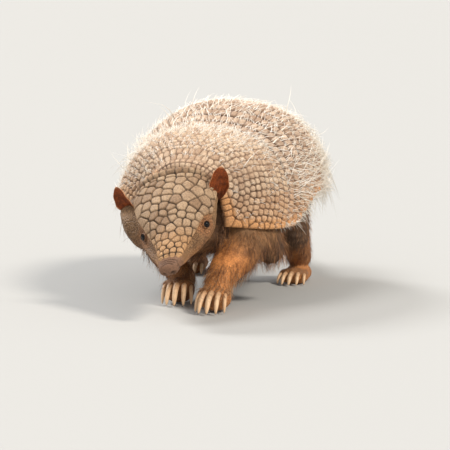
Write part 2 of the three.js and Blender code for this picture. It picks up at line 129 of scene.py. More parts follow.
NECK_TAIL_ROWS = (  # behind the point inside the head: x, y, z, half width, half height
    (-7, -139, 87, 48, 38),
    (-6, -124, 89, 49, 41),
    (0, -104, 92, 49, 44),
    (0, -84, 94, 46, 42),
)
NECK_IN_HEAD, NECK_START = (0.0, 82.0, -4.0), (30, 26)

# Legs: rows of x, y, z, half width, half depth for the upper part, the lower part and the paw.
LEGS = {
    "foreleg_left": (
        ((48, -98, 86, 18, 22), (60, -88, 66, 17, 20), (66, -79, 51, 14.5, 17), (67, -74, 37, 12, 13)),
        (
            (54, -92, 84, 18, 22), (52, -103, 66, 20, 21), (45, -115, 51, 20, 18.5),
            (37, -127, 38, 17, 15.5), (33, -137, 28, 13.5, 12.5), (32, -142, 22, 12, 11),
        ),
        (
            (33, -134, 19, 12.5, 13), (32, -147, 15, 15, 13),
            (31.5, -157, 14, 15.5, 11), (31, -163, 14, 13.5, 8.5),
        ),
    ),
    "foreleg_right": (
        ((-42, -92, 92, 21, 26), (-48, -80, 72, 17, 23), (-47, -70, 54, 14.5, 19), (-45, -66, 37, 13, 16)),
        (
            (-51, -60, 56, 13, 15), (-46, -72, 50, 14.5, 16), (-38, -80, 43, 14.5, 15),
            (-27, -88, 35, 13.5, 13.5), (-18, -97, 27, 12.5, 12.5), (-15, -101, 21, 12, 11),
        ),
        (
            (-16, -94, 18, 12.5, 13), (-15, -106, 15, 15, 13),
            (-14, -116, 14, 15.5, 11), (-13.5, -122, 14, 13.5, 8.5),
        ),
    ),
    "hindleg_left": (
        ((45, 50, 92, 22, 30), (55, 42, 70, 18, 27), (60, 39, 50, 15.5, 21), (61, 37, 32, 13, 16)),
        (
            (60, 30, 56, 14, 16), (60, 41, 46, 14.5, 18), (60, 52, 34, 13.5, 15.5),
            (60, 62, 23, 12, 13), (60, 67, 14, 11.5, 12),
        ),
        ((60, 77, 9.5, 11, 9.5), (60, 60, 9.5, 13, 9), (60, 40, 7.5, 14.5, 7), (60, 30, 6.5, 13, 6)),
    ),
    "hindleg_right": (
        ((-44, 52, 94, 21, 30), (-53, 58, 72, 18, 27), (-57, 66, 50, 15.5, 21), (-57, 70, 33, 13, 16)),
        (
            (-57, 60, 56, 14, 16), (-57, 72, 47, 14.5, 18), (-57, 85, 36, 13.5, 15.5),
            (-56, 99, 25, 12, 13), (-56, 106, 15, 11.5, 12),
        ),
        (
            (-56, 117, 9.5, 11, 9.5), (-56, 100, 9.5, 13, 9),
            (-55, 80, 7.5, 14.5, 7), (-54.5, 70, 6.5, 13, 6),
        ),
    ),
}
# The way each foot points, as x and y.
HEADINGS = {
    "foreleg_left": (-0.02, -1.0),
    "foreleg_right": (0.12, -1.0),
    "hindleg_left": (0.03, -1.0),
    "hindleg_right": (0.03, -1.0),
}
SOLE = -1.6  # how much lower the skin of the feet lies than the rows above say
# Claws from the inner to the outer toe: place across the knuckles, reach ahead of them, width.
CLAWS = {
    "fore": ((-0.9, 12, 4.8), (-0.47, 19, 6.2), (0.02, 21, 7), (0.48, 18, 6.2), (0.88, 11, 4.8)),
    "hind": ((-0.86, 12, 4.2), (-0.45, 16, 5.2), (0, 18, 5.8), (0.45, 16, 5.2), (0.86, 12, 4.2)),
}
TAIL = (
    (0, 108, 80, 18, 16), (-2, 132, 73, 15.5, 14.5), (-7, 164, 62, 12, 11.5), (-14, 200, 50, 9.2, 9),
    (-21, 236, 41, 6.8, 6.6), (-26, 270, 36, 4.6, 4.5), (-29, 302, 34, 2.6, 2.6),
)

# The scutes on top of the head, as places: share of the half width (left is positive) and
# millimetres behind the nose. HEAD_REAR_ROWS adds straight rows: place behind the nose, and count.
HEAD_REAR_ROWS = ((106.0, 13), (112.8, 15))
HEAD_SCUTES = (
    (-0.6, 8.2), (-0.2, 7.8), (0.22, 8.0), (0.65, 8.4),
    (-0.55, 12), (-0.18, 12.5), (0.2, 13), (0.6, 13.5), (-0.82, 16), (-0.4, 17.5), (0.02, 18.5),
    (0.42, 19), (0.85, 19), (-0.2, 23), (0.24, 24.5), (0.62, 25), (-0.62, 24), (-0.95, 25),
    (1.05, 27), (0.05, 29), (-0.22, 30), (-0.9, 32), (-0.53, 32), (0.33, 33), (1.02, 36),
    (0.69, 35), (-0.01, 39), (-0.3, 40.5), (-0.7, 40), (-0.99, 42), (0.85, 44), (0.2, 44),
    (0.47, 43.5), (-0.12, 47.5), (-0.5, 48), (0.04, 50), (-0.8, 50), (0.55, 51), (-0.28, 51.5),
    (0.25, 52.5), (0.86, 53), (0.04, 56.5), (0.5, 57.5), (-0.15, 57.5), (-0.36, 58.5), (-0.81, 61),
    (0.0, 62), (0.22, 61), (0.83, 62), (0.52, 64.5), (-0.6, 65), (-0.12, 66), (-0.32, 67),
    (1.02, 69), (0.07, 70.5), (0.72, 73), (-0.52, 73), (0.29, 74), (-0.23, 75), (-0.07, 75.5),
    (-0.78, 77), (1.0, 79), (-0.05, 82.5), (0.47, 83), (-0.47, 85), (0.78, 87), (0.12, 84),
    (-0.2, 86), (-0.72, 90), (0.27, 90), (-0.36, 93), (-0.02, 91), (0.95, 93), (0.55, 95),
    (-0.56, 98), (0.38, 97), (0.14, 97), (-0.16, 97), (0.76, 98), (-0.9, 97), (-0.0, 101),
    (-0.3, 102),
)

# ---------- shape formulas
def ease(x, low, high):
    """0 up to low, 1 from high on, and a smooth rise between them."""
    s = np.clip((np.asarray(x, float) - low) / (high - low), 0, 1)
    return s * s * (3 - 2 * s)


def fade(x, low, high):
    return 1 - ease(x, low, high)


def bell(x, width):
    return np.exp(-((x / width) ** 2))


def power(x, exponent):
    return np.sign(x) * np.abs(x) ** exponent


def unit(v):
    return v / np.maximum(np.linalg.norm(v, axis=-1, keepdims=True), 1e-9)


def through(rows):
    """A smooth curve through rows of numbers. Its value at i / (rows - 1) is row i."""
    rows = np.asarray(rows, float)
    last = len(rows) - 1
    padded = np.vstack((2 * rows[0] - rows[1], rows, 2 * rows[-1] - rows[-2]))

    def at(t):
        s = np.clip(np.asarray(t, float), 0, 1) * last
        i = np.minimum(s.astype(int), last - 1)
        f = (s - i)[..., None]
        p0, p1, p2, p3 = padded[i], padded[i + 1], padded[i + 2], padded[i + 3]
        a, b = (p2 - p0) / 2, (p3 - p1) / 2
        return p1 + a * f + (3 * (p2 - p1) - 2 * a - b) * f**2 + (2 * (p1 - p2) + a + b) * f**3

    return at


def tangent(curve, t):
    step = 1e-3
    return unit(curve(np.clip(t + step, 0, 1)) - curve(np.clip(t - step, 0, 1)))


def dome(t, share):
    """How round the end of a body is at t, when each end's dome takes a share of its length."""
    end = np.clip(np.minimum(t, 1 - t) / share, 0, 1)
    return np.sqrt(1 - (1 - end) ** 2), end


body_curve = through(BODY)


def body_point(t, angle, inset, belly=False):
    """A point of the body's surface at t along it and an angle from the top."""
    y, z, width, height, lean, depth = np.moveaxis(body_curve(t), -1, 0)
    half_sine = np.abs(np.sin(angle / 2))
    draw = EDGE_HOLLOW * ease(half_sine, HOLLOW_FROM, HOLLOW_TO) if belly else 0
    x = (width - inset - draw) * power(np.sin(angle), 2 / ARCH_POWER)
    reach = height - inset
    if belly:
        reach = np.where(half_sine > math.sin(EDGE_ANGLE / 2), depth + SHELL_ROOM - inset, reach)
    rise = power(np.cos(angle), 2 / ARCH_POWER) * reach
    tilt = np.radians(lean)
    upright = rise * np.cos(tilt)
    across = x * math.cos(BODY_ROLL) + upright * math.sin(BODY_ROLL)
    high = z + upright * math.cos(BODY_ROLL) - x * math.sin(BODY_ROLL)
    return np.stack((across, y + rise * np.sin(tilt), high), -1)


def plate_start(start, angle):
    """Where a plate starts: the front shield reaches further forward on its shoulders."""
    if start > 0:
        return start + 0 * np.asarray(angle, float)
    reach, drawn_back = (np.where(angle > 0, *numbers) for numbers in (FRONT_REACH, FRONT_BACK_OFF))
    side = np.abs(angle)
    return -reach * ease(side, 0.35, 0.75) * (1 - drawn_back * ease(side, 1.25, 1.63))


def edge_angle(share):
    """The angle of the shell's lower margin, which rises over the hind legs."""
    return EDGE_ANGLE - EDGE_RISE * ease(share, *EDGE_RISES_OVER)


back_steps = np.linspace(0, 1, 161)
back_points = body_point(back_steps, np.zeros(161), 0)
back_lengths = np.concatenate(([0], np.cumsum(np.linalg.norm(np.diff(back_points, axis=0), axis=1))))
BACK_LENGTH = back_lengths[-1]
HALF_GAP = PLATE_GAP / BACK_LENGTH
BAND_SHARE = (PELVIC_START - SCAPULAR_END) / BAND_COUNT


def shell_point(share, angle, inset=0.0):
    """A point of the shell at a share of the back's length. Past either end it runs straight on."""
    share = np.asarray(share, float)

    def on_shell(part):
        return body_point(np.interp(part * BACK_LENGTH, back_lengths, back_steps), angle, inset)

    inside = np.clip(share, 0, 1)
    here = on_shell(inside)
    if np.all(share == inside):
        return here
    near = on_shell(np.where(share < 0, 0.01, 0.99))
    return here + unit(here - near) * (np.abs(share - inside) * BACK_LENGTH)[..., None]


head_curve = through(HEAD)
head_steps = np.linspace(0, 1, 2001)
head_backs = head_curve(head_steps)[:, 0]


def head_row(y):
    """The head's section at a distance behind the nose: that distance, half width, top and bottom."""
    return head_curve(np.interp(y, head_backs, head_steps))


def head_point(y, angle, inset):
    """A point of the head's surface in its own frame, at a distance behind the nose."""
    back, width, top, bottom = np.moveaxis(head_row(y), -1, 0)
    middle = (top + bottom) / 2
    reach = np.where(np.cos(angle) > 0, top - middle, middle - bottom)
    x = (width - inset) * power(np.sin(angle), 2 / HEAD_POWER)
    z = middle + (reach - inset) * power(np.cos(angle), 2 / HEAD_POWER)
    return np.stack((x, back, z), -1)


def head_turn(place):
    """The angle from the top of the head at a place in its frame, positive on the left."""
    row = head_row(np.clip(place[:, 1], HEAD[0][0], HEAD[-1][0]))
    return np.arctan2(place[:, 0], place[:, 2] - (row[:, 2] + row[:, 3]) / 2)


def head_rotation():
    pitch, roll, yaw = HEAD_TILT
    turn = Matrix.Rotation(yaw, 3, "Z") @ Matrix.Rotation(pitch, 3, "X") @ Matrix.Rotation(roll, 3, "Y")
    return np.array(turn)


HEAD_AXES = head_rotation()


def skewed(points, way):
    """The head isn't even: the snout turns a little to the right, and its left rear is narrower."""
    points = np.array(points, float)
    x, y = points[..., 0], points[..., 1]
    bend = SNOUT_BEND * np.clip(1 - y / SNOUT_BEND_FROM, 0, 1.1) ** 2
    narrow = 1 - LEFT_NARROWING * ease(y, 55, 90) * ease(x, 0, 20)
    points[..., 0] = x * narrow - bend if way > 0 else (x + bend) / narrow
    return points


def from_head(points):
    return skewed(points, 1) @ HEAD_AXES.T + NOSE_TIP


def to_head(points):
    return skewed((np.asarray(points) - NOSE_TIP) @ HEAD_AXES, -1)


def shield_angle(y, left):
    """How far down the head shield reaches, on the animal's left where left is true."""
    reach = [np.radians(np.interp(y, *SHIELD_ANGLES[side])) for side in SIDES]
    return np.where(left, *reach)


def moved(start, *moves):
    """Points moved from start along each direction by its distance, given as pairs."""
    for direction, distance in moves:
        start = start + direction * distance[..., None]
    return start


def axes_along(curve, t):
    """The row of a curve at t, its direction there and the way across it nearest to +x."""
    forward = tangent(lambda s: curve(s)[..., :3], t)
    return curve(t), forward, unit(np.array((1.0, 0, 0)) - forward * forward[..., :1])


# ---------- making meshes
def to_frame(points):
    return (np.asarray(points, float) + LAYOUT_SHIFT) * MM


def new_object(name, mesh, material=None):
    obj = bpy.data.objects.new(name, mesh)
    bpy.context.scene.collection.objects.link(obj)
    if material:
        mesh.materials.append(material)
    return obj


def add_values(mesh, values, kind="FLOAT", field="value"):
    for name, numbers in values.items():
        layer = mesh.attributes.new(name, kind, "POINT")
        layer.data.foreach_set(field, np.asarray(numbers, np.float32).ravel())


def mesh_of(name, points, quads, triangles=(), values=None, uv=None):
    """A smooth mesh from points in the layout frame, with one float attribute for each of values."""
    quads = np.asarray(quads, np.int32).reshape(-1, 4)
    triangles = np.asarray(triangles, np.int32).reshape(-1, 3)
    mesh = bpy.data.meshes.new(name)
    mesh.vertices.add(len(points))
    mesh.vertices.foreach_set("co", to_frame(points).astype(np.float32).ravel())
    corners = np.concatenate((quads.ravel(), triangles.ravel()))
    mesh.loops.add(len(corners))
    mesh.loops.foreach_set("vertex_index", corners)
    mesh.polygons.add(len(quads) + len(triangles))
    starts = (np.arange(len(quads)) * 4, len(quads) * 4 + np.arange(len(triangles)) * 3)
    mesh.polygons.foreach_set("loop_start", np.concatenate(starts).astype(np.int32))
    mesh.update(calc_edges=True)
    mesh.polygons.foreach_set("use_smooth", np.ones(len(mesh.polygons), bool))
    if uv is not None:
        layer = mesh.uv_layers.new(name="OFBake")
        layer.data.foreach_set("uv", np.asarray(uv, np.float32)[corners].ravel())
    add_values(mesh, values or {})
    mesh.validate()
    return mesh


def joined(grids):
    """Points, quads and triangles of several bodies from tube_grid, as those of one mesh."""
    firsts = np.cumsum([0] + [len(grid[0]) for grid in grids])
    faces = [np.concatenate([grid[k] + first for grid, first in zip(grids, firsts)]) for k in (1, 2)]
    return np.concatenate([grid[0] for grid in grids]), *faces


def tree_of(points):
    """A tree that finds the nearest of these points."""
    tree = kdtree.KDTree(len(points))
    for i, point in enumerate(points):
        tree.insert(point, i)
    tree.balance()
    return tree


def volume_sign(points, quads):
    a, b, c, d = (points[quads[:, i]] for i in range(4))
    halves = (np.cross(a, b) * c).sum() + (np.cross(a, c) * d).sum()
    return 1 if halves > 0 else -1


def grid_normals(grid):
    """Unit normals of a grid of points, pointing away from its middle."""
    normal = unit(np.cross(np.gradient(grid, axis=1), np.gradient(grid, axis=0)))
    outwards = grid - grid.mean(axis=(0, 1))
    return normal if (normal * outwards).sum() > 0 else -normal


def grid_of(rows, cols, left=0):
    """Shares down a plate, 0 to 1, and across it, left to 1, for a grid of points."""
    return np.meshgrid(np.linspace(0, 1, rows + 1), np.linspace(left, 1, cols + 1), indexing="ij")


def grid_quads(rows, cols, first=0):
    i, j = np.meshgrid(np.arange(rows), np.arange(cols), indexing="ij")
    at = first + i * (cols + 1) + j
    return np.stack((at, at + 1, at + cols + 2, at + cols + 1), -1).reshape(-1, 4)


def grid_border(rows, cols, first=0):
    loop = [(0, j) for j in range(cols)] + [(i, cols) for i in range(rows)]
    loop += [(rows, j) for j in range(cols, 0, -1)] + [(i, 0) for i in range(rows, 0, -1)]
    return [first + i * (cols + 1) + j for i, j in loop]


def plate_mesh(name, outer, inner, values, material):
    """A closed plate: a fine outer grid and a coarser inner one, joined round their edge."""
    rows, cols = outer.shape[0] - 1, outer.shape[1] - 1
    inner_rows, inner_cols = inner.shape[0] - 1, inner.shape[1] - 1
    count = (rows + 1) * (cols + 1)
    inner_quads = grid_quads(inner_rows, inner_cols, count)[:, ::-1]
    quads = np.concatenate((grid_quads(rows, cols), inner_quads))
    fine, coarse = grid_border(rows, cols), grid_border(inner_rows, inner_cols, count)
    triangles = []
    for c, here in enumerate(coarse):
        after = coarse[(c + 1) % len(coarse)]
        for e in range(c * COARSER, (c + 1) * COARSER):
            triangles.append((fine[(e + 1) % len(fine)], fine[e], here))
        triangles.append((here, after, fine[((c + 1) * COARSER) % len(fine)]))
    triangles = np.array(triangles)
    points = np.concatenate((outer.reshape(-1, 3), inner.reshape(-1, 3)))
    if volume_sign(points, quads) < 0:
        quads, triangles = quads[:, ::-1], triangles[:, ::-1]
    down, across = grid_of(rows, cols)
    inner_down, inner_across = grid_of(inner_rows, inner_cols)
    uv = np.concatenate(
        (
            np.stack((0.01 + 0.98 * across, 0.01 + 0.78 * down), -1).reshape(-1, 2),
            np.stack((0.01 + 0.98 * inner_across, 0.82 + 0.16 * inner_down), -1).reshape(-1, 2),
        )
    )
    filler = np.full(inner.size // 3, 0.5)
    filled = {key: np.concatenate((numbers.ravel(), filler)) for key, numbers in values.items()}
    return new_object(name, mesh_of(name, points, quads, triangles, filled, uv), material)


def tube_grid(ring, along, around):
    """Points and faces of a closed round body. ring(t, angle) gives its skin; its ends are poles."""
    t = np.linspace(0, 1, along + 1)[1:-1]
    angle = np.linspace(0, 2 * math.pi, around, endpoint=False)
    grid_t, grid_angle = np.meshgrid(t, angle, indexing="ij")
    skin = ring(grid_t, grid_angle)
    ends = ring(np.array([[0.0], [1.0]]), np.zeros((2, 1))).reshape(2, 3)
    rows = len(t)
    i, j = np.meshgrid(np.arange(rows - 1), np.arange(around), indexing="ij")
    after = (j + 1) % around
    corners = (i * around + j, i * around + after, (i + 1) * around + after, (i + 1) * around + j)
    quads = np.stack(corners, -1).reshape(-1, 4)
    j = np.arange(around)
    after = (j + 1) % around
    pole, last_row = np.full(around, rows * around), (rows - 1) * around
    caps = ((pole, after, j), (pole + 1, last_row + j, last_row + after))
    triangles = np.concatenate([np.stack(cap, -1) for cap in caps])
    points = np.concatenate((skin.reshape(-1, 3), ends))
    if volume_sign(points, quads) < 0:
        quads, triangles = quads[:, ::-1], triangles[:, ::-1]
    places = np.stack((grid_t, grid_angle), -1).reshape(-1, 2)
    return points, quads, triangles, np.concatenate((places, ((0.0, 0.0), (1.0, 0.0))))


def limb_ring(rows, share, inset=0.0):
    """The skin of a limb: a curve with a half width and a half depth at each of its points."""
    curve = through(rows)

    def ring(t, angle):
        row, forward, out = axes_along(curve, t)
        round_end, _ = dome(t, share)
        width, depth = (np.maximum(row[..., k] * round_end - inset, THINNEST) for k in (3, 4))
        up = np.cross(forward, out)
        return moved(row[..., :3], (out, np.cos(angle) * width), (up, np.sin(angle) * depth))

    return ring


def round_uv(places):
    """The OFBake map of a body from tube_grid: its turn to the right, its length up."""
    return 0.02 + 0.96 * places[:, ::-1] / (2 * math.pi, 1)


# ---------- scutes
CORNER = 0.5  # how rounded the corners of the scutes are
NEIGHBOURS = 7


class Scutes:
    """The middles of a plate's scutes and how far each point lies from the seams between them."""

    def __init__(self, middles):
        self.middles = np.asarray(middles, float)
        self.tree = tree_of(self.middles)

    def field(self, points):
        """Distance to the nearest seam, distance to the middle, and the index of the scute."""
        count = min(NEIGHBOURS, len(self.middles))
        found = [self.tree.find_n(p, count) for p in points.reshape(-1, 3)]
        index = np.array([[hit[1] for hit in hits] for hits in found])
        near = np.array([[hit[2] for hit in hits] for hits in found])
        own, others = self.middles[index[:, 0]], self.middles[index[:, 1:]]
        apart = np.linalg.norm(others - own[:, None], axis=-1)
        gaps = (near[:, 1:] ** 2 - near[:, :1] ** 2) / (2 * apart)
        seam = np.maximum(-CORNER * np.log(np.exp(-gaps / CORNER).sum(axis=1)), 0)
        shape = points.shape[:-1]
        return seam.reshape(shape), near[:, 0].reshape(shape), index[:, 0].reshape(shape)


def iso_row(share_from, share_to, distance, from_rear, width, stagger, rng, jitter, spare):
    """Places in a row at a distance from the front or rear margin of a plate, as (share, angle)."""
    angles = np.linspace(-EDGE_ANGLE, EDGE_ANGLE, 241)
    first = plate_start(share_from, angles)
    shares = first + (share_to - first) * np.linspace(0, 1, 60)[:, None]
    grid = shell_point(shares, angles + 0 * shares)
    lengths = edge_distances(grid)[0]
    total = lengths[-1]
    wanted = total - distance if from_rear else np.full(len(angles), float(distance))
    usable = (wanted > spare) & (wanted < total - (0 if from_rear else spare))
    share = np.array([np.interp(w, lengths[:, j], shares[:, j]) for j, w in enumerate(wanted)])
    line = shell_point(share, angles)
    arc = np.concatenate(([0], np.cumsum(np.linalg.norm(np.diff(line, axis=0), axis=1))))
    arc -= arc[len(angles) // 2]
    most = int(arc[-1] / width) + 2
    places = []
    for k in range(-most, most + 1):
        across = (k + 0.5 * stagger) * width + rng.uniform(-jitter, jitter)
        down = rng.uniform(-jitter, jitter) / BACK_LENGTH
        if not arc[0] + 0.35 * width < across < arc[-1] - 0.35 * width:
            continue
        if usable[int(np.argmin(np.abs(arc - across)))]:
            here = float(np.interp(across, arc, share)) + down
            places.append((here, float(np.interp(across, arc, angles))))
    return places


# ---------- materials
def colour(red, green, blue):
    """A colour as it is seen, 0 to 255, turned into the light values that the nodes take."""

    def light(c):
        c /= 255
        return c / 12.92 if c <= 0.04045 else ((c + 0.055) / 1.055) ** 2.4

    return (light(red), light(green), light(blue))


def length(name, description, default, **limits):
    kind = {"subtype": "DISTANCE", "unit": "LENGTH", "precision": 5}
    return FloatProperty(name=name, description=description, default=default, **kind, **limits)


def amount(name, description, default, **limits):
    return FloatProperty(name=name, description=description, default=default, **limits)


def tint(name, description, rgb):
    kind = {"subtype": "COLOR", "size": 3, "min": 0, "max": 1}
    return FloatVectorProperty(name=name, description=description, default=colour(*rgb), **kind)


def feed(tree, socket, value):
    """Gives a socket a value or another node's output."""
    if isinstance(value, bpy.types.NodeSocket):
        tree.links.new(value, socket)
    else:
        socket.default_value = (*value[:3], 1) if socket.type == "RGBA" else value


def add_node(tree, kind, inputs=None, **settings):
    node = tree.nodes.new(kind)
    for key, value in settings.items():
        setattr(node, key, value)
    for key, value in (inputs or {}).items():
        feed(tree, node.inputs[key], value)
    return node


class Look:
    """One material and the making of its nodes."""

    def __init__(self, name, roughness=0.7, specular=0.4):
        self.material = bpy.data.materials.new(name)
        self.material.use_nodes = True
        self.tree = self.material.node_tree
        self.shader = next(n for n in self.tree.nodes if n.type == "BSDF_PRINCIPLED")
        self.shine(roughness=roughness, specular_ior_level=specular)
        self.place = self.node("ShaderNodeTexCoord", "Object")

    def shine(self, **settings):
        """Sets inputs of the shader, named in lower case with underscores."""
        names = {socket.name.lower().replace(" ", "_"): socket for socket in self.shader.inputs}
        for name, number in settings.items():
            names[name].default_value = number

    def node(self, kind, output=0, inputs=None, **settings):
        return add_node(self.tree, kind, inputs, **settings).outputs[output]

    def times(self, a, b):
        return self.node("ShaderNodeMath", 0, {0: a, 1: b}, operation="MULTIPLY")

    def value(self, name):
        return self.node("ShaderNodeAttribute", "Fac", attribute_name=name)

    def stretched(self, scale):
        return self.node("ShaderNodeMapping", 0, {"Vector": self.place, "Scale": scale})

    def noise(self, scale, detail=3.0, roughness=0.55, place=None):
        inputs = {"Vector": place or self.place, "Scale": scale, "Detail": detail, "Roughness": roughness}
        return self.node("ShaderNodeTexNoise", "Fac", inputs)

    def cells(self, scale, feature="F1", randomness=1.0, place=None):
        inputs = {"Vector": place or self.place, "Scale": scale, "Randomness": randomness}
        return self.node("ShaderNodeTexVoronoi", "Distance", inputs, feature=feature)

    def ramp(self, value, low, high, start=0.0, end=1.0):
        """value from low..high, mapped smoothly to start..end."""
        inputs = {"Value": value, "From Min": low, "From Max": high, "To Min": start, "To Max": end}
        return self.node("ShaderNodeMapRange", "Result", inputs, interpolation_type="SMOOTHSTEP")

    def mix(self, share, a, b):
        return self.node("ShaderNodeMix", 2, {0: share, 6: a, 7: b}, data_type="RGBA")

    def bump(self, height, strength, distance, after=None):
        inputs = {"Strength": strength, "Distance": distance * MM, "Height": height}
        if after:
            inputs["Normal"] = after
        return self.node("ShaderNodeBump", 0, inputs)

    def finish(self, base, normal=None, roughness=None):
        for name, source in (("Base Color", base), ("Normal", normal), ("Roughness", roughness)):
            if source is not None:
                feed(self.tree, self.shader.inputs[name], source)
        return self.material


def once(make):
    """Makes a material the first time it is asked for, and gives the same one after that."""

    def give(context):
        name = make.__name__
        if name not in bpy.data.materials:
            made = make(context.scene.armadillo_colours)
            made.name = name
        return bpy.data.materials[name]

    return give


def horn_plate(name, base, dark, warm, seam_colour, pits=1.0, seam_least=0.75):
    """Dry horn over bone: a tone for each scute, dark seams, fine pits and warm lower edges."""
    look = Look(name, specular=0.22)
    tone = look.value("tone")
    blotch = look.noise(55, 4, 0.6)
    fine = look.noise(700, 3, 0.6)
    body = look.mix(look.times(tone, 0.75), base, dark)
    body = look.mix(look.ramp(blotch, 0.42, 0.75, 0, 0.55), body, dark)
    warmth = look.value("warmth")
    body = look.mix(look.times(warmth, 0.85), body, warm)
    body = look.mix(look.ramp(fine, 0.35, 0.62, 0.4, 0), body, seam_colour)
    pit = look.cells(620)
    body = look.mix(look.ramp(pit, 0.08, 0.34, 0.35 * pits, 0), body, dark)
    streak = look.noise(60, 3, 0.7, look.stretched((3.0, 14.0, 3.0)))
    body = look.mix(look.ramp(streak, 0.5, 0.75, 0, 0.3), body, dark)
    # On the bands the seam value also holds the painted shadow under the overlap of the band in front.
    seam = look.times(look.value("seam"), look.ramp(look.noise(120), 0.35, 0.6, 0.6, 1))
    strength = look.ramp(look.value("shade"), 0.0, 1.0, seam_least, 1.0)
    body = look.mix(look.times(seam, strength), body, seam_colour)
    normal = look.bump(look.noise(420, 4, 0.6), 0.6, 0.55)
    normal = look.bump(pit, 0.5 * pits, 0.35, normal)
    return look.finish(body, normal, look.ramp(fine, 0.3, 0.7, 0.6, 0.8))


@once
def shell_horn(of):
    return horn_plate("shell", of.shell, of.shell_dark, of.shell_edge, of.seam)


@once
def band_horn(of):
    return horn_plate("band", of.band, of.band_dark, of.shell_edge, of.seam)


@once
def head_horn(of):
    return horn_plate("head", of.head, of.head_dark, of.head_warm, of.seam_dark, 0.6, 1.0)


@once
def skin_leather(of):
    """Bare skin: granules, creases, painted shade, and colours that follow the part of the body."""
    look = Look("skin", specular=0.3)
    mottled = look.noise(90, 4, 0.6)
    body = look.mix(look.ramp(mottled, 0.35, 0.7, 0, 0.6), of.skin, of.skin_dark)
    body = look.mix(look.value("grey"), body, of.skin_grey)
    ruddy = look.mix(look.ramp(look.noise(95, 4, 0.62), 0.4, 0.72), of.ruddy, of.ruddy_dark)
    body = look.mix(look.value("ruddy"), body, ruddy)
    body = look.mix(look.value("pink"), body, of.nose)
    body = look.mix(look.times(look.value("pale"), 0.8), body, of.skin_pale)
    pebbles = look.cells(600, "F1", 0.85)
    granular = look.value("granular")
    body = look.mix(look.times(look.ramp(pebbles, 0.1, 0.45, 0.4, 0), granular), body, of.skin_pale)
    body = look.mix(look.times(look.ramp(pebbles, 0.45, 0.66, 0, 0.45), granular), body, of.crease)
    scales = look.cells(430, "DISTANCE_TO_EDGE", place=look.stretched((1, 1, 1.3)))
    scaly = look.value("scaly")
    body = look.mix(look.times(look.ramp(scales, 0.0, 0.1, 0.3, 0), scaly), body, of.crease)
    grain = look.cells(760)
    body = look.mix(look.ramp(grain, 0.3, 0.8, 0, 0.28), body, of.crease)
    # Painted shade from the skin's values: folds, lids, nostrils, mouth line, under the neck and belly,
    # hind legs, knees, right forepaw and right side of the head.
    body = look.mix(look.value("crease"), body, of.crease)
    normal = look.bump(look.times(look.ramp(scales, 0.0, 0.2), scaly), 0.7, 0.6)
    normal = look.bump(look.times(pebbles, granular), 1.0, -0.9, normal)
    normal = look.bump(grain, 0.5, -0.4, normal)
    normal = look.bump(look.noise(260, 4), 0.4, 0.6, normal)
    return look.finish(body, normal, look.ramp(mottled, 0.3, 0.7, 0.58, 0.75))


@once
def ear_leather(of):
    """Thin pored skin with painted shade in the hollow near its root and a paler rim, that lets a little
    light in.
    """
    look = Look("ear", roughness=0.6, specular=0.2)
    mottled = look.noise(260, 3)
    body = look.mix(look.ramp(mottled, 0.35, 0.65), of.ear, of.ear_dark)
    body = look.mix(look.times(look.value("rim"), 0.75), body, of.ear_rim)
    # Painted shade towards the ear's root.
    body = look.mix(look.times(look.value("hollow"), 0.55), body, of.crease)
    grain = look.cells(900)
    body = look.mix(look.ramp(grain, 0.3, 0.8, 0, 0.45), body, of.crease)
    look.shine(subsurface_weight=0.12, subsurface_radius=(1.0, 0.35, 0.15), subsurface_scale=2 * MM)
    return look.finish(body, look.bump(grain, 0.5, -0.3))


@once
def eye_wet(of):
    """A wet, nearly black eye."""
    look = Look("eye", roughness=0.12, specular=0.16)
    look.shine(coat_weight=0.1, coat_roughness=0.05)
    return look.finish(look.mix(look.ramp(look.value("iris"), 0.2, 0.8), of.pupil, of.iris))


@once
def claw_horn(of):
    """Worn horn: streaks along the claw, darker at the root and paler at the tip."""
    look = Look("claw", roughness=0.5, specular=0.3)
    streak = look.noise(6, 4, 0.6, look.stretched((60, 60, 12)))
    body = look.mix(look.value("tip"), of.claw_root, of.claw)
    body = look.mix(look.ramp(streak, 0.4, 0.7, 0, 0.45), body, of.claw_root)
    dirt = look.times(look.ramp(look.noise(400), 0.5, 0.7, 0, 0.5), look.value("dirt"))
    body = look.mix(dirt, body, of.crease)
    return look.finish(body, look.bump(streak, 0.4, 0.25))


def hair_look(name, root, tip, pale, dark_share=0.0):
    """Hairs darker at the root. The palest and, where wanted, the darkest are chosen by their tint."""
    look = Look(name, roughness=0.5, specular=0.45)
    body = look.mix(look.ramp(look.value("along"), 0.0, 0.55), root, tip)
    tint_of_hair = look.value("tint")
    body = look.mix(look.ramp(tint_of_hair, 0.25, 1.0), body, pale)
    if dark_share:
        body = look.mix(look.ramp(tint_of_hair, dark_share, dark_share * 0.6), body, root)
    return look.finish(body)


@once
def bristle_pale(of):
    return hair_look("bristle", of.bristle_root, of.bristle, of.bristle_pale)


@once
def fur_ruddy(of):
    return hair_look("fur", of.fur_root, of.fur, of.fur_pale, 0.3)


# ---------- shell
def plate_spans():
    spans = {"scapular_shield": (0.0, SCAPULAR_END - HALF_GAP)}
    for i in range(BAND_COUNT):
        start = SCAPULAR_END + i * BAND_SHARE
        spans[f"band_{i + 1}"] = (start + HALF_GAP, start + BAND_SHARE - HALF_GAP)
    spans["pelvic_shield"] = (PELVIC_START + HALF_GAP, 1.0)
    return spans


SPANS = plate_spans()
POLYGON_WIDTH = 6.4
RECTANGLE_WIDTH = 5.6
BAND_SCUTE_WIDTH = 6.3
PELVIC_SCUTE_WIDTH = 6.8
PELVIC_PITCH = 8.6
BAND_ROWS = ((0.13, 4.0), (0.62, 10.0))  # place down the band and length of its two rows


def seed_of(name):
    return sum(map(ord, name))


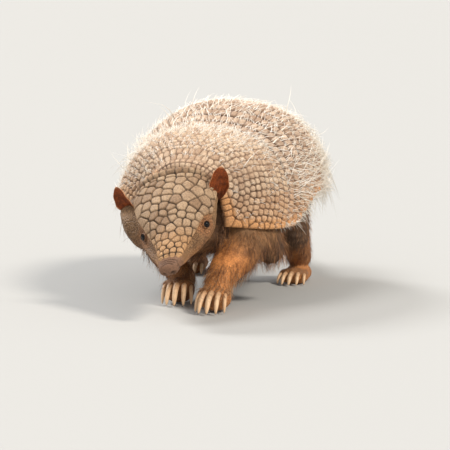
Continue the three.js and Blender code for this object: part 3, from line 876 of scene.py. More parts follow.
def scute_rows(name):
    """The rows of a plate's scutes: places (share, angle), length and width of each scute."""
    start, end = SPANS[name]
    rng = np.random.default_rng(seed_of(name))
    rows = []

    def row(distance, length, width, from_rear=False, stagger=0, jitter=0.0, spare=2.0):
        places = iso_row(start, end, distance, from_rear, width, stagger, rng, jitter, spare)
        rows.append({"places": places, "length": length, "width": width})

    if name == "scapular_shield":
        row(3.2, 6.4, 6.2, jitter=0.25)
        row(4.6, 9.2, RECTANGLE_WIDTH, from_rear=True, jitter=0.3, spare=8)
        row(13.0, 7.6, RECTANGLE_WIDTH, from_rear=True, jitter=0.5, spare=8)
        for turn, distance in enumerate(np.arange(20.4, 84, POLYGON_WIDTH * 0.98)):
            row(distance, 6.4, POLYGON_WIDTH, from_rear=True, stagger=1 - turn % 2, jitter=1.15, spare=9)
    elif name == "pelvic_shield":
        row(3.4, 6.8, PELVIC_SCUTE_WIDTH, from_rear=True, jitter=0.3)
        for turn, distance in enumerate(np.arange(4.4, 118, PELVIC_PITCH)):
            row(distance, PELVIC_PITCH, PELVIC_SCUTE_WIDTH, stagger=turn % 2, jitter=0.45, spare=3)
        for extra in rows[1:]:
            extra["places"] = [p for p in extra["places"] if far_from_rear(p, end)]
    else:
        for share, length in BAND_ROWS:
            at = start + share * (end - start)
            found = iso_row(at - 0.004, at + 0.004, 0.5, False, BAND_SCUTE_WIDTH, 0, rng, 0.2, -9)
            places = [(at, angle) for _, angle in found]
            rows.append({"places": places, "length": length, "width": BAND_SCUTE_WIDTH})
    return [row for row in rows if row["places"]]


def far_from_rear(place, end):
    """Whether a scute leaves room for the last row of the rear shield."""
    rear, here = (shell_point(np.array([share]), np.array(place[1:]))[0] for share in (end, place[0]))
    return np.linalg.norm(rear - here) > PELVIC_SCUTE_WIDTH


def edge_distances(grid):
    """How far each point of a grid lies from its front, its rear and its two sides."""
    down, across = (np.linalg.norm(np.diff(grid, axis=k), axis=2) for k in (0, 1))
    from_front = np.concatenate((np.zeros((1, grid.shape[1])), np.cumsum(down, axis=0)))
    from_left = np.concatenate((np.zeros((grid.shape[0], 1)), np.cumsum(across, axis=1)), axis=1)
    from_sides = np.minimum(from_left, from_left[:, -1:] - from_left)
    return from_front, from_front[-1] - from_front, from_sides


def relief_of(seam, groove, crown, width=0.42):
    return crown * ease(seam, 0.1, 1.5) - groove * bell(seam, width)


def scute_values(seam, index, count, seed, warmth, shade):
    """The values that horn takes: its seams, a tone for each scute, and warm and shaded places."""
    tones = np.random.default_rng(seed).uniform(0, 1, count) ** 1.4
    values = {"seam": bell(seam, 0.5), "tone": tones[index]}
    return {**values, "warmth": warmth, "shade": shade + 0 * warmth}


def make_shell_plate(name, context):
    """One plate of the shell, with its scutes standing out and its rim rounded."""
    sizes = context.scene.armadillo_shell
    start, end = SPANS[name]
    step = sizes.fineness / MM * COARSER
    rows = max(COARSER, int(BACK_LENGTH * (end - start) / step) * COARSER)
    down, across = grid_of(rows, int(SHELL_GIRTH / step) * COARSER, -1)
    first = plate_start(start, across * EDGE_ANGLE)
    share = first + (end - first) * down
    angle = across * edge_angle(share)
    side = np.abs(angle)
    tuck = PLATE_TUCK + (-PLATE_LIFT - PLATE_TUCK) * down
    smooth = shell_point(share, angle, tuck)
    places = np.array([place for row in scute_rows(name) for place in row["places"]])
    seam, _, index = Scutes(shell_point(*places.T)).field(shell_point(share, angle))
    front, rear, sides = edge_distances(smooth)
    relief = relief_of(seam, sizes.groove / MM, sizes.crown / MM)
    rim = np.minimum(np.minimum(rear, sides), front + (0 if name == "scapular_shield" else 3))
    relief -= 1.0 * fade(rim, 0, 1.8)
    low = ease(side, math.radians(58), EDGE_ANGLE)
    warmth = np.clip(0.45 * low + 0.8 * fade(sides, 3, 13), 0, 1)
    shade = ease(side, 0.7, 1.25)
    horn = shell_horn
    if name == "scapular_shield":
        shoulder = ease(side, 0.75, 1.3) * fade(front, 5, 12)
        warmth = np.clip(warmth + 1.1 * shoulder, 0, 1)
    if name.startswith("band"):
        relief -= 1.5 * fade(down, 0.12, 0.3)
        relief += 0.5 * ease(down, 0.35, 1.0)
        shade = 0.55 + 0.45 * shade
        horn = band_horn
    values = scute_values(seam, index, len(places), seed_of(name), warmth, shade)
    if name.startswith("band"):
        # Painted shadow: the front of each band, under the rear margin of the band before it, is painted
        # dark through its seam value, further down the band on top than on the sides.
        overlap_shadow_end = 0.42 - 0.17 * ease(side, 0.8, 1.3)
        values["seam"] = np.maximum(values["seam"], fade(down - overlap_shadow_end, -0.15, 0))
    outer = smooth + grid_normals(smooth) * relief[..., None]
    share, angle, tuck = (numbers[::COARSER, ::COARSER] for numbers in (share, angle, tuck))
    inner = shell_point(share, angle, tuck + SHELL_THICK)
    settle(plate_mesh(f"{name}_scutes", outer, inner, values, horn(context)), "shell", name)


def settle(obj, slot, *nodes):
    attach(obj, "root")
    if nodes:
        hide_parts(*nodes)


NAPE = {"from": -0.041, "to": 0.0126, "half": math.radians(52), "inset": 1.4, "thick": 2.6}
NAPE["rows"], NAPE["bulge"] = (-0.033, -0.017, 0.0), 3.4


def make_nape_plate(context):
    """The narrow plate between the head shield and the shell, with rows of small scutes."""
    down, across = grid_of(30, 200, -1)
    share, angle = NAPE["from"] + (NAPE["to"] - NAPE["from"]) * down, across * NAPE["half"]
    smooth = shell_point(share, angle, NAPE["inset"])
    places = np.array([(s, k * NAPE["half"]) for s in NAPE["rows"] for k in np.linspace(-0.96, 0.96, 17)])
    seam, _, index = Scutes(shell_point(*places.T, NAPE["inset"])).field(smooth)
    front, rear, sides = edge_distances(smooth)
    rim = np.minimum(np.minimum(rear, sides), front)
    bulge = NAPE["bulge"] * np.sin(math.pi * np.clip(down * 1.25, 0, 1)) ** 0.8
    relief = relief_of(seam, 0.5, 0.3) + bulge - 1.2 * fade(rim, 0, 2.2)
    outer = smooth + grid_normals(smooth) * relief[..., None]
    share, angle = (numbers[::COARSER, ::COARSER] for numbers in (share, angle))
    inner = shell_point(share, angle, NAPE["inset"] + NAPE["thick"])
    warmth = np.clip(0.05 + 0.6 * fade(sides, 2, 14), 0, 1)
    values = scute_values(seam, index, len(places), NAPE_SEED, warmth, 0.6)
    obj = plate_mesh("nape_plate_scutes", outer, inner, values, shell_horn(context))
    settle(obj, "shell", "nape_plate")


HEAD_PLATE_THICK, HEAD_PLATE_PROUD = 2.4, 0.6
HEAD_PLATE_SIZE = (110, 94)


def head_places():
    """Places of the head's scutes as rows of (share of the half width, distance behind the nose)."""
    places = list(HEAD_SCUTES)
    for back, count in HEAD_REAR_ROWS:
        places += [(k, back - 1.2 * k * k) for k in np.linspace(-0.94, 0.94, count)]
    return np.array(places).T


def make_head_shield(context):
    """The plate on the head: large flat scutes with dark seams and a raised rear rim."""
    sizes = context.scene.armadillo_shell
    step = sizes.head_fineness / MM * COARSER
    down, across = grid_of(*(int(size / step) * COARSER for size in HEAD_PLATE_SIZE), -1)
    back = SHIELD_FROM + (SHIELD_TO - SHIELD_FROM) * down
    angle = across * shield_angle(back, across > 0)
    smooth = head_point(back, angle, -HEAD_PLATE_PROUD)
    shares, backs = head_places()
    middles = head_point(backs, shares * shield_angle(backs, shares > 0), -HEAD_PLATE_PROUD)
    seam, far, index = Scutes(middles).field(smooth)
    front, rear, sides = edge_distances(smooth)
    size = ease(back, 15, 60)
    relief = relief_of(seam, 0.6 + 0.4 * size, 0.45 + 0.35 * size, 0.5)
    relief -= 0.2 * ease(far, 0, 5) * size
    crest = bell(back - 112.9, 3.0) - 0.5 * bell(back - 108.7, 1.1)
    relief += sizes.rim / MM * crest
    relief -= 1.1 * fade(np.minimum(sides, rear), 0, 1.9)
    relief -= 1.5 * fade(front, 0, 5)
    outer = from_head(smooth + grid_normals(smooth) * relief[..., None])
    warmth = np.clip(0.75 * fade(back, 16, 48) + 0.35 * fade(sides, 0, 4), 0, 1)
    values = scute_values(seam, index, len(middles), HEAD_SEED, warmth, 1)
    back, angle, front = (numbers[::COARSER, ::COARSER] for numbers in (back, angle, front))
    under = head_point(back, angle, 0)
    thick = HEAD_PLATE_THICK - HEAD_PLATE_PROUD + 1.2 * fade(front, 0, 7)
    inner = from_head(under) - grid_normals(under) @ HEAD_AXES.T * thick[..., None]
    obj = plate_mesh("head_shield_scutes", outer, inner, values, head_horn(context))
    settle(obj, "shell", "head_shield")


# ---------- tail
TAIL_RINGS = 30
TAIL_SCUTE_WIDTH = 6.2


def make_tail(context):
    """The tail in its sheath of ringed scutes."""
    ring, curve = limb_ring(TAIL, 0.06, inset=0.3), through(TAIL)
    points, quads, triangles, places = tube_grid(ring, 300, 96)
    seeds = []
    for k in range(TAIL_RINGS):
        t = 0.02 + 0.96 * (k / (TAIL_RINGS - 1)) ** 0.92
        girth = 2 * math.pi * float(curve(t)[3])
        count = max(5, int(girth / TAIL_SCUTE_WIDTH))
        seeds += [(t, 2 * math.pi * (j + 0.5 * (k % 2)) / count) for j in range(count)]
    seeds = np.array(seeds)
    seam, _, index = Scutes(ring(*seeds.T)).field(points)
    t = places[:, 0]
    relief = relief_of(seam, 0.5, 0.5, 0.5) * (1 - 0.6 * t) - 0.25
    points = points + unit(points - curve(t)[:, :3]) * relief[:, None]
    values = scute_values(seam, index, len(seeds), TAIL_SEED, np.clip(0.35 + 0.4 * t, 0, 1), 0.8)
    mesh = mesh_of("tail_scutes", points, quads, triangles, values, round_uv(places))
    settle(new_object("tail_scutes", mesh, shell_horn(context)), "shell", "tail")


# ---------- skin
SKIN_INSET = 0.4
HEAD_PLATE_ROOM = 2.7
COLLAR_TUCK = 5.5
TOE_SIZES = ((1.0, 1.0), (1.05, 1.05), (0.98, 0.95), (0.82, 0.8))
HIDDEN_THINNING = 0.92
EYE_REACH = 10.5
SKIN_NOISES = ((0.16, 7.7), (0.42, 2.3), (0.95, 5.1))  # rough, fine and tiny: scale and seed
SNOUT_WRINKLES = ((1.6, 0.5), (3.2, 0.7), (4.9, 0.55))  # place behind the nose, and depth
MOUTH_LINE = ((0, 12, 30, 52), (-6.5, -9.5, -13, -16.5))  # places behind the nose, and heights
TOE_BACK, TOE_AHEAD, TOE_COVER = 12.0, 0.6, 1.2
CLAW_RISE, CLAW_SLIM = 1.6, 0.86


def from_core(core, skin, round_end):
    """The skin drawn in to its core where a body's end rounds off."""
    return core + (skin - core) * np.maximum(round_end, 1e-3)[..., None]


def trunk_ring(t, angle):
    row = body_curve(t)
    skin = body_point(t, angle, SHELL_ROOM + SKIN_INSET, belly=True)
    return from_core(np.stack((0 * row[..., 0], row[..., 0], row[..., 1]), -1), skin, dome(t, 0.07)[0])


def head_ring(t, angle):
    """The head under its plate, with a cheek that bulges more on the right."""
    row = head_curve(t)
    back, middle = row[..., 0], (row[..., 2] + row[..., 3]) / 2
    turn = (angle + math.pi) % (2 * math.pi) - math.pi
    side = np.abs(turn)
    reach = shield_angle(back, turn > 0)
    under = fade(side, reach - 0.05, reach + 0.03)
    under = under * ease(back, SHIELD_FROM + 2, SHIELD_FROM + 12)
    skin = head_point(back, angle, SKIN_INSET + HEAD_PLATE_ROOM * under)
    behind, *cheeks = np.transpose(CHEEKS)
    puff = np.where(turn < 0, *(np.interp(back, behind, cheek) for cheek in cheeks))
    high = np.where(turn < 0, ease(back, 58, 82), 0)
    puff = puff * ease(side, 1.45 - 0.37 * high, 1.85 - 0.5 * high)
    puff = puff * fade(side, 2.0, 2.9)
    skin = skin + puff[..., None] * np.stack((np.sign(turn) * 0.97, 0 * turn, 0 * turn + 0.1), -1)
    round_end, end = dome(t, 0.1)
    bent = from_core(np.stack((0 * back, back, middle), -1), skin, round_end)
    bent[..., 1] += np.where(t < 0.5, -2.5, 6.0) * (1 - end)
    return from_head(bent)


def neck_ring(t, angle):
    first = from_head(np.array(NECK_IN_HEAD))
    row, forward, out = axes_along(through([(*first, *NECK_START), *NECK_TAIL_ROWS]), t)
    round_end, _ = dome(t, 0.2)
    width, height = (np.maximum((row[..., k] - SKIN_INSET) * round_end, THINNEST) for k in (3, 4))
    up = unit(np.cross(out, forward))
    return moved(row[..., :3], (out, np.sin(angle) * width), (up, np.cos(angle) * height))


def claw_line(leg, claw):
    """Where a claw starts, its arch and its tip, and the direction ahead."""
    x, y, z, half, depth = LEGS[leg][2][-1]
    place, reach, width = claw
    heading = unit(np.array((*HEADINGS[leg], 0.0)))
    side = np.array((-heading[1], heading[0], 0.0)) * (1 if leg.endswith("left") else -1)
    root = np.array((x, y, z + depth * 0.35 - 2 * place * place))
    root = root + side * place * half - heading * (4 + 5 * place * place) + (0, 0, CLAW_RISE)
    ahead = unit(heading + side * 0.2 * place)
    tip = root + ahead * reach
    tip[2] = width * 0.2
    arch = root + ahead * reach * 0.62
    arch[2] = root[2] + 1.5
    return root, arch, tip, ahead


def toe_rows(leg, claw):
    root, _, _, ahead = claw_line(leg, claw)
    radius = claw[2] / 2 + TOE_COVER
    start = root - ahead * TOE_BACK + (0, 0, 1.0)
    knuckle = root - ahead * TOE_BACK * 0.35 + (0, 0, 1.2)
    end = root + ahead * TOE_AHEAD + (0, 0, -0.6)
    points = zip((start, knuckle, root, end), TOE_SIZES)
    return [(*point, radius * width, radius * depth) for point, (width, depth) in points]


def claws_of(leg):
    return CLAWS["fore" if leg.startswith("fore") else "hind"]


def nose_ring(t, angle):
    """The pad of the nose: a broad disc that runs back into the snout."""
    pad = NOSE_PAD
    back = pad["from"] + (pad["to"] - pad["from"]) * t
    round_end = np.sqrt(1 - (1 - np.clip(t / 0.42, 0, 1)) ** 2) * np.sqrt(np.clip((1 - t) / 0.1, 0, 1))
    offset = pad["middle"][0] * (1 - np.clip(back / 16, 0, 1) ** 1.5)
    x = offset + pad["half"][0] * round_end * power(np.sin(angle), 0.9)
    z = pad["middle"][1] + 0.12 * back + pad["half"][1] * round_end * power(np.cos(angle), 0.9)
    return from_head(np.stack((x, back, z), -1))


def skin_bodies():
    """Every closed body that the skin is grown over: label, ring, steps along and around."""
    bodies = [
        ("trunk", trunk_ring, 90, 96),
        ("head", head_ring, 120, 110),
        ("head_nose", nose_ring, 30, 60),
        ("neck", neck_ring, 50, 90),
        ("tail_root", limb_ring(TAIL[:3], 0.3, inset=1.6), 16, 40),
    ]
    for leg, (upper, lower, paw) in LEGS.items():
        lowered = [(x, y, z + SOLE, w, d) for x, y, z, w, d in paw]
        bodies.append((f"{leg}_upper", limb_ring(upper, 0.3, SKIN_INSET), 40, 48))
        bodies.append((f"{leg}_lower", limb_ring(lower, 0.2, SKIN_INSET), 50, 48))
        bodies.append((f"{leg}_paw", limb_ring(lowered, 0.3, SKIN_INSET), 34, 44))
        if leg.startswith("fore"):
            x, y, z, half, depth = np.array(paw[1]) + (0, 2, 1, -0.8, -1)
            wrist = (*lower[-3:-1], (x, y + 5, z + 7, half - 0.8, depth), (x, y, z, half, depth))
            bodies.append((f"{leg}_paw", limb_ring(wrist, 0.2, SKIN_INSET), 30, 44))
        for claw in claws_of(leg):
            bodies.append((f"{leg}_toe", limb_ring(toe_rows(leg, claw), 0.25), 14, 16))
    return bodies


def evaluated(obj):
    """The object's mesh with its modifiers applied."""
    graph = bpy.context.evaluated_depsgraph_get()
    return bpy.data.meshes.new_from_object(obj.evaluated_get(graph), depsgraph=graph)


def numbers_of(items, field, kind=np.float32):
    """A field with three numbers for each of a mesh's vertices, normals or triangles."""
    flat = np.empty(len(items) * 3, kind)
    items.foreach_get(field, flat)
    return flat.reshape(-1, 3)


def vertices_of(mesh):
    """The mesh's points in the layout frame, and its normals."""
    points = numbers_of(mesh.vertices, "co").astype(float) / MM - LAYOUT_SHIFT
    return points, numbers_of(mesh.vertex_normals, "vector").astype(float)


def swap_mesh(obj, mesh):
    """Gives the object another mesh and removes its modifiers and its old mesh."""
    obj.modifiers.clear()
    old, obj.data = obj.data, mesh
    bpy.data.meshes.remove(old)


def grown_skin(bodies, fineness):
    """All the bodies as one closed mesh, with the joints between them smoothed over."""
    grids = [tube_grid(ring, along, around) for _, ring, along, around in bodies]
    obj = new_object("skin", mesh_of("skin", *joined(grids)))
    remesh = obj.modifiers.new("grow", "REMESH")
    remesh.mode = "VOXEL"
    remesh.voxel_size = fineness
    remesh.use_smooth_shade = True
    soften = obj.modifiers.new("soften", "SMOOTH")
    soften.factor = 0.5
    soften.iterations = 5
    swap_mesh(obj, evaluated(obj))
    every_other = [(points[::2], places[::2]) for points, _, _, places in grids]
    tree = tree_of(np.concatenate([points for points, _ in every_other]))
    labels = np.repeat(np.arange(len(bodies)), [len(points) for points, _ in every_other])
    return obj, tree, labels, np.concatenate([places for _, places in every_other])


def arch_height(points):
    """The height of the middle of the body's arch over each point."""
    rows = np.array(BODY)
    return np.interp(points[:, 1], rows[:, 0], rows[:, 1])


def thin_hidden(obj):
    """Leaves fewer faces on the back of the trunk, which lies under the shell."""
    points, _ = vertices_of(obj.data)
    covered = (points[:, 2] > arch_height(points) + 12) & (points[:, 1] > -118) & (points[:, 1] < 120)
    group = obj.vertex_groups.new(name="covered")
    group.add(np.flatnonzero(covered).tolist(), 1.0, "REPLACE")
    thin = obj.modifiers.new("thin", "DECIMATE")
    thin.vertex_group = group.name
    thin.ratio = 1 - HIDDEN_THINNING * covered.mean()
    thinned = evaluated(obj)
    obj.vertex_groups.clear()
    swap_mesh(obj, thinned)


def refine(obj, wanted):
    """Halves the edges where wanted(points in the layout frame) says so."""
    bm = bmesh.new()
    bm.from_mesh(obj.data)
    bm.verts.ensure_lookup_table()
    points = np.array([v.co for v in bm.verts]) / MM - LAYOUT_SHIFT
    inside = wanted(points)
    edges = [e for e in bm.edges if inside[e.verts[0].index] and inside[e.verts[1].index]]
    bmesh.ops.subdivide_edges(bm, edges=edges, cuts=1, use_grid_fill=True)
    bmesh.ops.triangulate(bm, faces=[f for f in bm.faces if len(f.verts) > 4])
    bm.to_mesh(obj.data)
    bm.free()
    obj.data.polygons.foreach_set("use_smooth", np.ones(len(obj.data.polygons), bool))


EYE_OUT = unit(np.array((0.74, -0.55, 0.38)))
LID_OPEN, LID_END, LID_BLEND = 3.25, 6.2, 9.5
LID_THICK, RIDGE_PITCH = 0.75, 1.55


def eye_frame(side):
    """The middle of an eye in the head's frame, its outward axis, and the ways across and up."""
    out = EYE_OUT * (side, 1, 1)
    up = unit(np.array((0, 0.2, 1.0)) - out * out[2])
    up = unit(up - out * (up @ out))
    return np.array(EYE_PLACE) * (side, 1, 1), out, np.cross(up, out), up


def lids(points_in_head):
    """Wraps the skin round the eyes: two lids over the ball, and ridges round them, with painted shade in
    the opening, along the lid's edge and between the ridges.
    """
    moved_points = points_in_head.copy()
    crease = np.zeros(len(moved_points))
    for side in SIDES.values():
        middle, out, across, up = eye_frame(side)
        offset = moved_points - middle
        high, wide, tall = offset @ out, offset @ across, offset @ up
        r = np.sqrt(wide**2 + (tall * 1.12) ** 2)
        near = (r < LID_BLEND) & (high > -6)
        ball = EYE_RADIUS + LID_THICK
        over = np.sqrt(np.maximum(ball**2 - np.minimum(r, ball * 0.98) ** 2, 0))
        opening = fade(r, LID_OPEN - 0.35, LID_OPEN + 0.15)
        lip = 0.3 * bell(r - LID_OPEN - 0.55, 0.45)
        wave = np.cos((r - 4.1) * 2 * math.pi / RIDGE_PITCH)
        ridges = 0.22 * wave * ease(r, 3.4, 4.4) * fade(r, 7, LID_BLEND)
        blend = ease(r, 4.2, LID_END)
        wanted = (over + lip) * (1 - blend) + np.maximum(high, over) * blend
        sunk = np.sqrt(np.maximum(EYE_RADIUS**2 - np.minimum(r, 4) ** 2, 0)) - 1.3
        wanted = wanted * (1 - opening) + sunk * opening
        new_high = np.where(near, wanted + ridges, high)
        moved_points += np.where(near, new_high - high, 0)[:, None] * out
        # Painted shade: dark in the opening, along the lid's edge and in the troughs between the ridges.
        dark = opening + 0.9 * bell(r - LID_OPEN - 0.1, 0.4)
        dark += 0.35 * (1 - wave) / 2 * (r > 3.8) * (r < 8)
        crease = np.maximum(crease, np.where(near, np.clip(dark, 0, 1), 0))
    return moved_points, crease


def noise_of(points, scale, seed=0.0):
    return np.array([noise.noise((p * scale + seed).tolist()) for p in points])


def from_eyes(place):
    """How far each place in the head's frame lies from the nearer eye."""
    return np.min([np.linalg.norm(place - eye_frame(s)[0], axis=1) for s in SIDES.values()], axis=0)


def head_details(points, normals):
    """Nose, nostrils, mouth, lids and creases of the face. Gives points and attribute values, among them
    the painted shade of the folds, nostrils, mouth line and lids.
    """
    place = to_head(points)
    outward = normals @ HEAD_AXES
    x, y, z = place.T
    turn = np.abs(head_turn(place))
    lift = np.zeros(len(place))
    crease = np.zeros(len(place))
    # Wrinkles across the snout and a groove round the nose pad, painted dark in their folds as shade.
    for back, depth in SNOUT_WRINKLES:
        bow = back - 0.6 * turn**2
        fold = bell(y - bow, 0.42) * fade(turn, 0.95, 1.5)
        lift -= depth * fold
        crease = np.maximum(crease, 0.75 * fold)
    pad = bell(y - 3.0, 0.55) * ease(turn, 1.1, 1.6)
    lift -= 0.45 * pad
    crease = np.maximum(crease, 0.45 * pad)
    # Nostrils: a dent with a raised rim, painted dark inside as shade.
    for side in SIDES.values():
        away = np.linalg.norm((place - (side * 4.4 - 1.2, -1.0, -8.4)) * (0.8, 1, 1), axis=1)
        lift -= 2.4 * bell(away, 1.5)
        lift += 0.5 * bell(away - 2.7, 0.8)
        crease = np.maximum(crease, bell(away, 1.45))
    # The mouth line: a groove painted dark as shade, with a lip above it.
    mouth = np.interp(y, *MOUTH_LINE)
    line = bell(z - mouth, 0.75) * ease(y, 1, 4) * fade(y, 46, 54)
    line *= ease(np.abs(x), 1.5, 4)
    lift -= 1.0 * line
    lip = bell(z - mouth - 1.9, 1.1) * ease(y, 1, 4) * fade(y, 44, 52)
    lift += 0.35 * lip
    crease = np.maximum(crease, line)
    cheek = ease(y, 52, 70) * ease(turn, 1.15, 1.4)
    lift += 0.9 * cheek * noise_of(place * (0.09, 0.22, 0.12), 1.0, 3.1)
    shaped, lid_crease = lids(place + outward * lift[:, None])
    return from_head(shaped), np.maximum(crease, lid_crease), place, turn


def bare_face(points):
    """The part of the head that its plate doesn't cover."""
    local = to_head(points)
    y, turn = local[:, 1], head_turn(local)
    covered = (np.abs(turn) < shield_angle(y, turn > 0) - 0.12) & (y > SHIELD_FROM + 4)
    return (y < 70) & (y > -6) & (points[:, 1] < -140) & ~covered


def round_eyes(points):
    return from_eyes(to_head(points)) < EYE_REACH


def collar_of(points):
    """The sides of the neck, which are drawn in to stay under the front shield's margin."""
    x, y, z = points.T
    along = ease(y, -160, -148) * fade(y, -112, -100)
    return along * (ease(z, 64, 74) * ease(np.abs(x), 22, 34))


def make_skin(context):
    """One skin over the trunk, neck, head, legs and feet, with its folds, lids and toes."""
    bodies = skin_bodies()
    obj, tree, labels, places = grown_skin(bodies, context.scene.armadillo_skin.fineness)
    thin_hidden(obj)
    refine(obj, bare_face)
    refine(obj, round_eyes)
    mesh = obj.data
    points, normals = vertices_of(mesh)
    hits = np.array([tree.find(p)[1] for p in points])
    label, along = labels[hits], places[hits, 0]

    def of(*words):
        """1 for points on the bodies whose label holds all these words, else 0."""
        chosen = [i for i, body in enumerate(bodies) if all(word in body[0] for word in words)]
        return np.isin(label, chosen) * 1.0

    rough, fine, tiny = (noise_of(points, *kind) for kind in SKIN_NOISES)
    x, y, z = points.T
    head, neck, trunk, lower, toes = (of(name) for name in ("head", "neck", "trunk", "lower", "_toe"))
    feet = of("_paw") + toes
    fore_lower, hind_lower = of("foreleg", "lower"), of("hindleg", "lower")
    knee = of("foreleg", "upper") * ease(along, 0.35, 0.6)
    thigh = of("hindleg", "upper")
    belly = trunk * (z < 78)
    lift = knee * (1.5 * rough - 1.0 * np.abs(fine) + 0.3 * tiny)
    lift += lower * (0.35 * fine + 0.25 * tiny)
    lift += fore_lower * ease(along, 0.62, 0.8) * 0.7 * np.sin(along * 70 + 2.0 * fine)
    lift += thigh * (0.55 * np.sin(z * 1.05 + 3.0 * rough) + 0.3 * fine)
    lift += neck * (1.1 * np.sin(y * 0.85 + 2.2 * rough) * 0.6 + 0.5 * fine)
    lift += belly * (0.7 * np.sin(y * 0.62 + 1.6 * rough) + 0.4 * fine)
    lift += feet * (0.3 * fine + 0.2 * tiny)
    lift += head * (0.18 * tiny)
    collar = collar_of(points)
    points = points + normals * lift[:, None]
    points[:, 0] -= np.sign(points[:, 0]) * COLLAR_TUCK * collar * (1 - head)
    shaped, crease, local, turn = head_details(points, normals)
    points = np.where(head[:, None] > 0, shaped, points)
    x, y, z = points.T
    # Painted shade: darker low on the neck and belly, over the whole neck, and more on the neck's left
    # side.
    shade = (neck + belly) * fade(z, 58, 88) * 0.5
    fold = neck * ease(x, 8, 26) * (0.55 - 0.1 * fine)
    shade = np.maximum(shade, fold + neck * 0.25)
    flank = trunk * ease(y, -30, 30)
    # Painted shade: the rear of the flank, the thighs and the lower hind legs are darkened.
    hind = flank * 0.45 + thigh * 0.5 + hind_lower * 0.54
    # Painted shade also in the hollows of the knee's rough skin.
    crease = crease * head + knee * ease(-fine, 0.05, 0.4) * 0.6 + shade + hind
    # Painted shade: the right foreleg's lower part and paw, and the right side of the head, are darkened.
    crease = np.clip(crease, 0, 1) + (of("foreleg_right", "lower") + of("foreleg_right", "_paw")) * 0.5
    crease += head * 0.36 * ease(-local[:, 0], 12, 26)
    points[:, 2] = np.maximum(z, 0.0)
    by_eye = fade(from_eyes(local), 7, 17)
    ruddy = fore_lower * ease(along, 0.22, 0.6) + hind_lower * ease(along, 0.1, 0.4)
    ruddy += of("foreleg", "_paw") * 0.7 + of("hindleg", "_paw") * 0.6 + toes * 0.25
    ruddy += head * np.maximum(0.35 * ease(turn, 1.5, 2.1), 0.5 * by_eye)
    ruddy += neck * 0.55 * (x > 0)
    grey = flank * 0.6 + knee * 0.85 + thigh * 0.8 + neck * 0.35 + belly * 0.5 + toes * 0.6
    behind = local[:, 1]
    values = {
        "pink": head * (fade(behind, 5, 12) + 0.3 * by_eye),
        "grey": grey,
        "ruddy": ruddy,
        "scaly": 0.35 * lower + feet * 0.7 + 0.3 * neck,
        "crease": crease,
        "granular": head * ease(behind, 10, 26) + 0.6 * neck,
        "pale": 0.3 * head * ease(behind, 60, 80) + 0.25 * neck,
    }
    mesh.vertices.foreach_set("co", to_frame(points).astype(np.float32).ravel())
    add_values(mesh, {name: np.clip(numbers, 0, 1) for name, numbers in values.items()})
    mesh.materials.clear()
    mesh.materials.append(skin_leather(context))
    mesh.update()
    settle(obj, "skin", "trunk", "neck", "head", *LEGS, *(leg.replace("leg", "paw") for leg in LEGS))


# ---------- ears, eyes and claws
def make_ear(context, side_name, side):
    """An oval ear, cupped forwards, with a thick rim and ribs running up from its root."""
    root, tip, face = (
        np.array(place) * (side, 1, 1) for place in (EAR_ROOT, EAR_TIPS[side_name], EAR_FACES[side_name])
    )
    long = tip - root
    up = unit(long)
    back = -unit(face - up * (face @ up))
    across = np.cross(up, back) * side
    half = EAR_WIDTH / 2

    def ring(t, angle):
        edge = np.maximum(1 - (2 * t - 1) ** 2, 0) ** np.where(t > 0.5, 0.62, 0.5)
        edge = edge * (0.86 + 0.14 * np.minimum(t / 0.5, 1))
        sideways = np.cos(angle) * np.maximum(edge * half, THINNEST)
        curl = EAR_CUP * (sideways / half) ** 2
        rim = ease(np.abs(np.cos(angle)), 0.78, 0.97)
        body = (EAR_THICK / 2) * np.minimum(1, 1.6 * edge)
        thin = np.sin(angle) * np.maximum(body * (0.62 + 0.5 * rim), THINNEST)
        front = np.sin(angle) < 0
        ribs = 0.35 * np.cos(sideways * 1.9) * fade(t, 0.25, 0.75) * front * edge
        ripple = 0.25 * np.sin(t * 23 + 2 * sideways / half) * edge
        width = sideways * (1 + 0.03 * np.sin(t * 17))
        return moved(root, (long, t), (across, width), (back, thin - curl + ribs + ripple))

    points, quads, triangles, places = tube_grid(ring, 70, 84)
    t, angle = places.T
    rim = np.maximum(ease(np.abs(np.cos(angle)), 0.9, 0.99), ease(t, 0.93, 0.99))
    # Painted shade: darker towards the ear's root.
    values = {"rim": rim, "hollow": fade(t, 0.05, 0.4)}
    name = f"ear_{side_name}"
    mesh = mesh_of(f"{name}_leaf", from_head(points), quads, triangles, values, round_uv(places))
    settle(new_object(mesh.name, mesh, ear_leather(context)), "ear_skin", name)


def make_eye(context, side_name, side):
    """A wet ball that bulges a little in front, with a dark brown ring for its iris."""
    middle, out, across, up = eye_frame(side)

    def ring(t, angle):
        polar = math.pi * t
        radius = EYE_RADIUS + 0.35 * bell(polar, 0.5)
        high, wide = radius * np.cos(polar), radius * np.sin(polar)
        return moved(middle, (out, high), (across, wide * np.cos(angle)), (up, wide * np.sin(angle)))

    points, quads, triangles, places = tube_grid(ring, 40, 48)
    t, name = places[:, 0], f"eye_{side_name}"
    iris = ease(t, 0.16, 0.19) * fade(t, 0.3, 0.34)
    mesh = mesh_of(f"{name}_ball", from_head(points), quads, triangles, {"iris": iris})
    settle(new_object(mesh.name, mesh, eye_wet(context)), "eye", name)


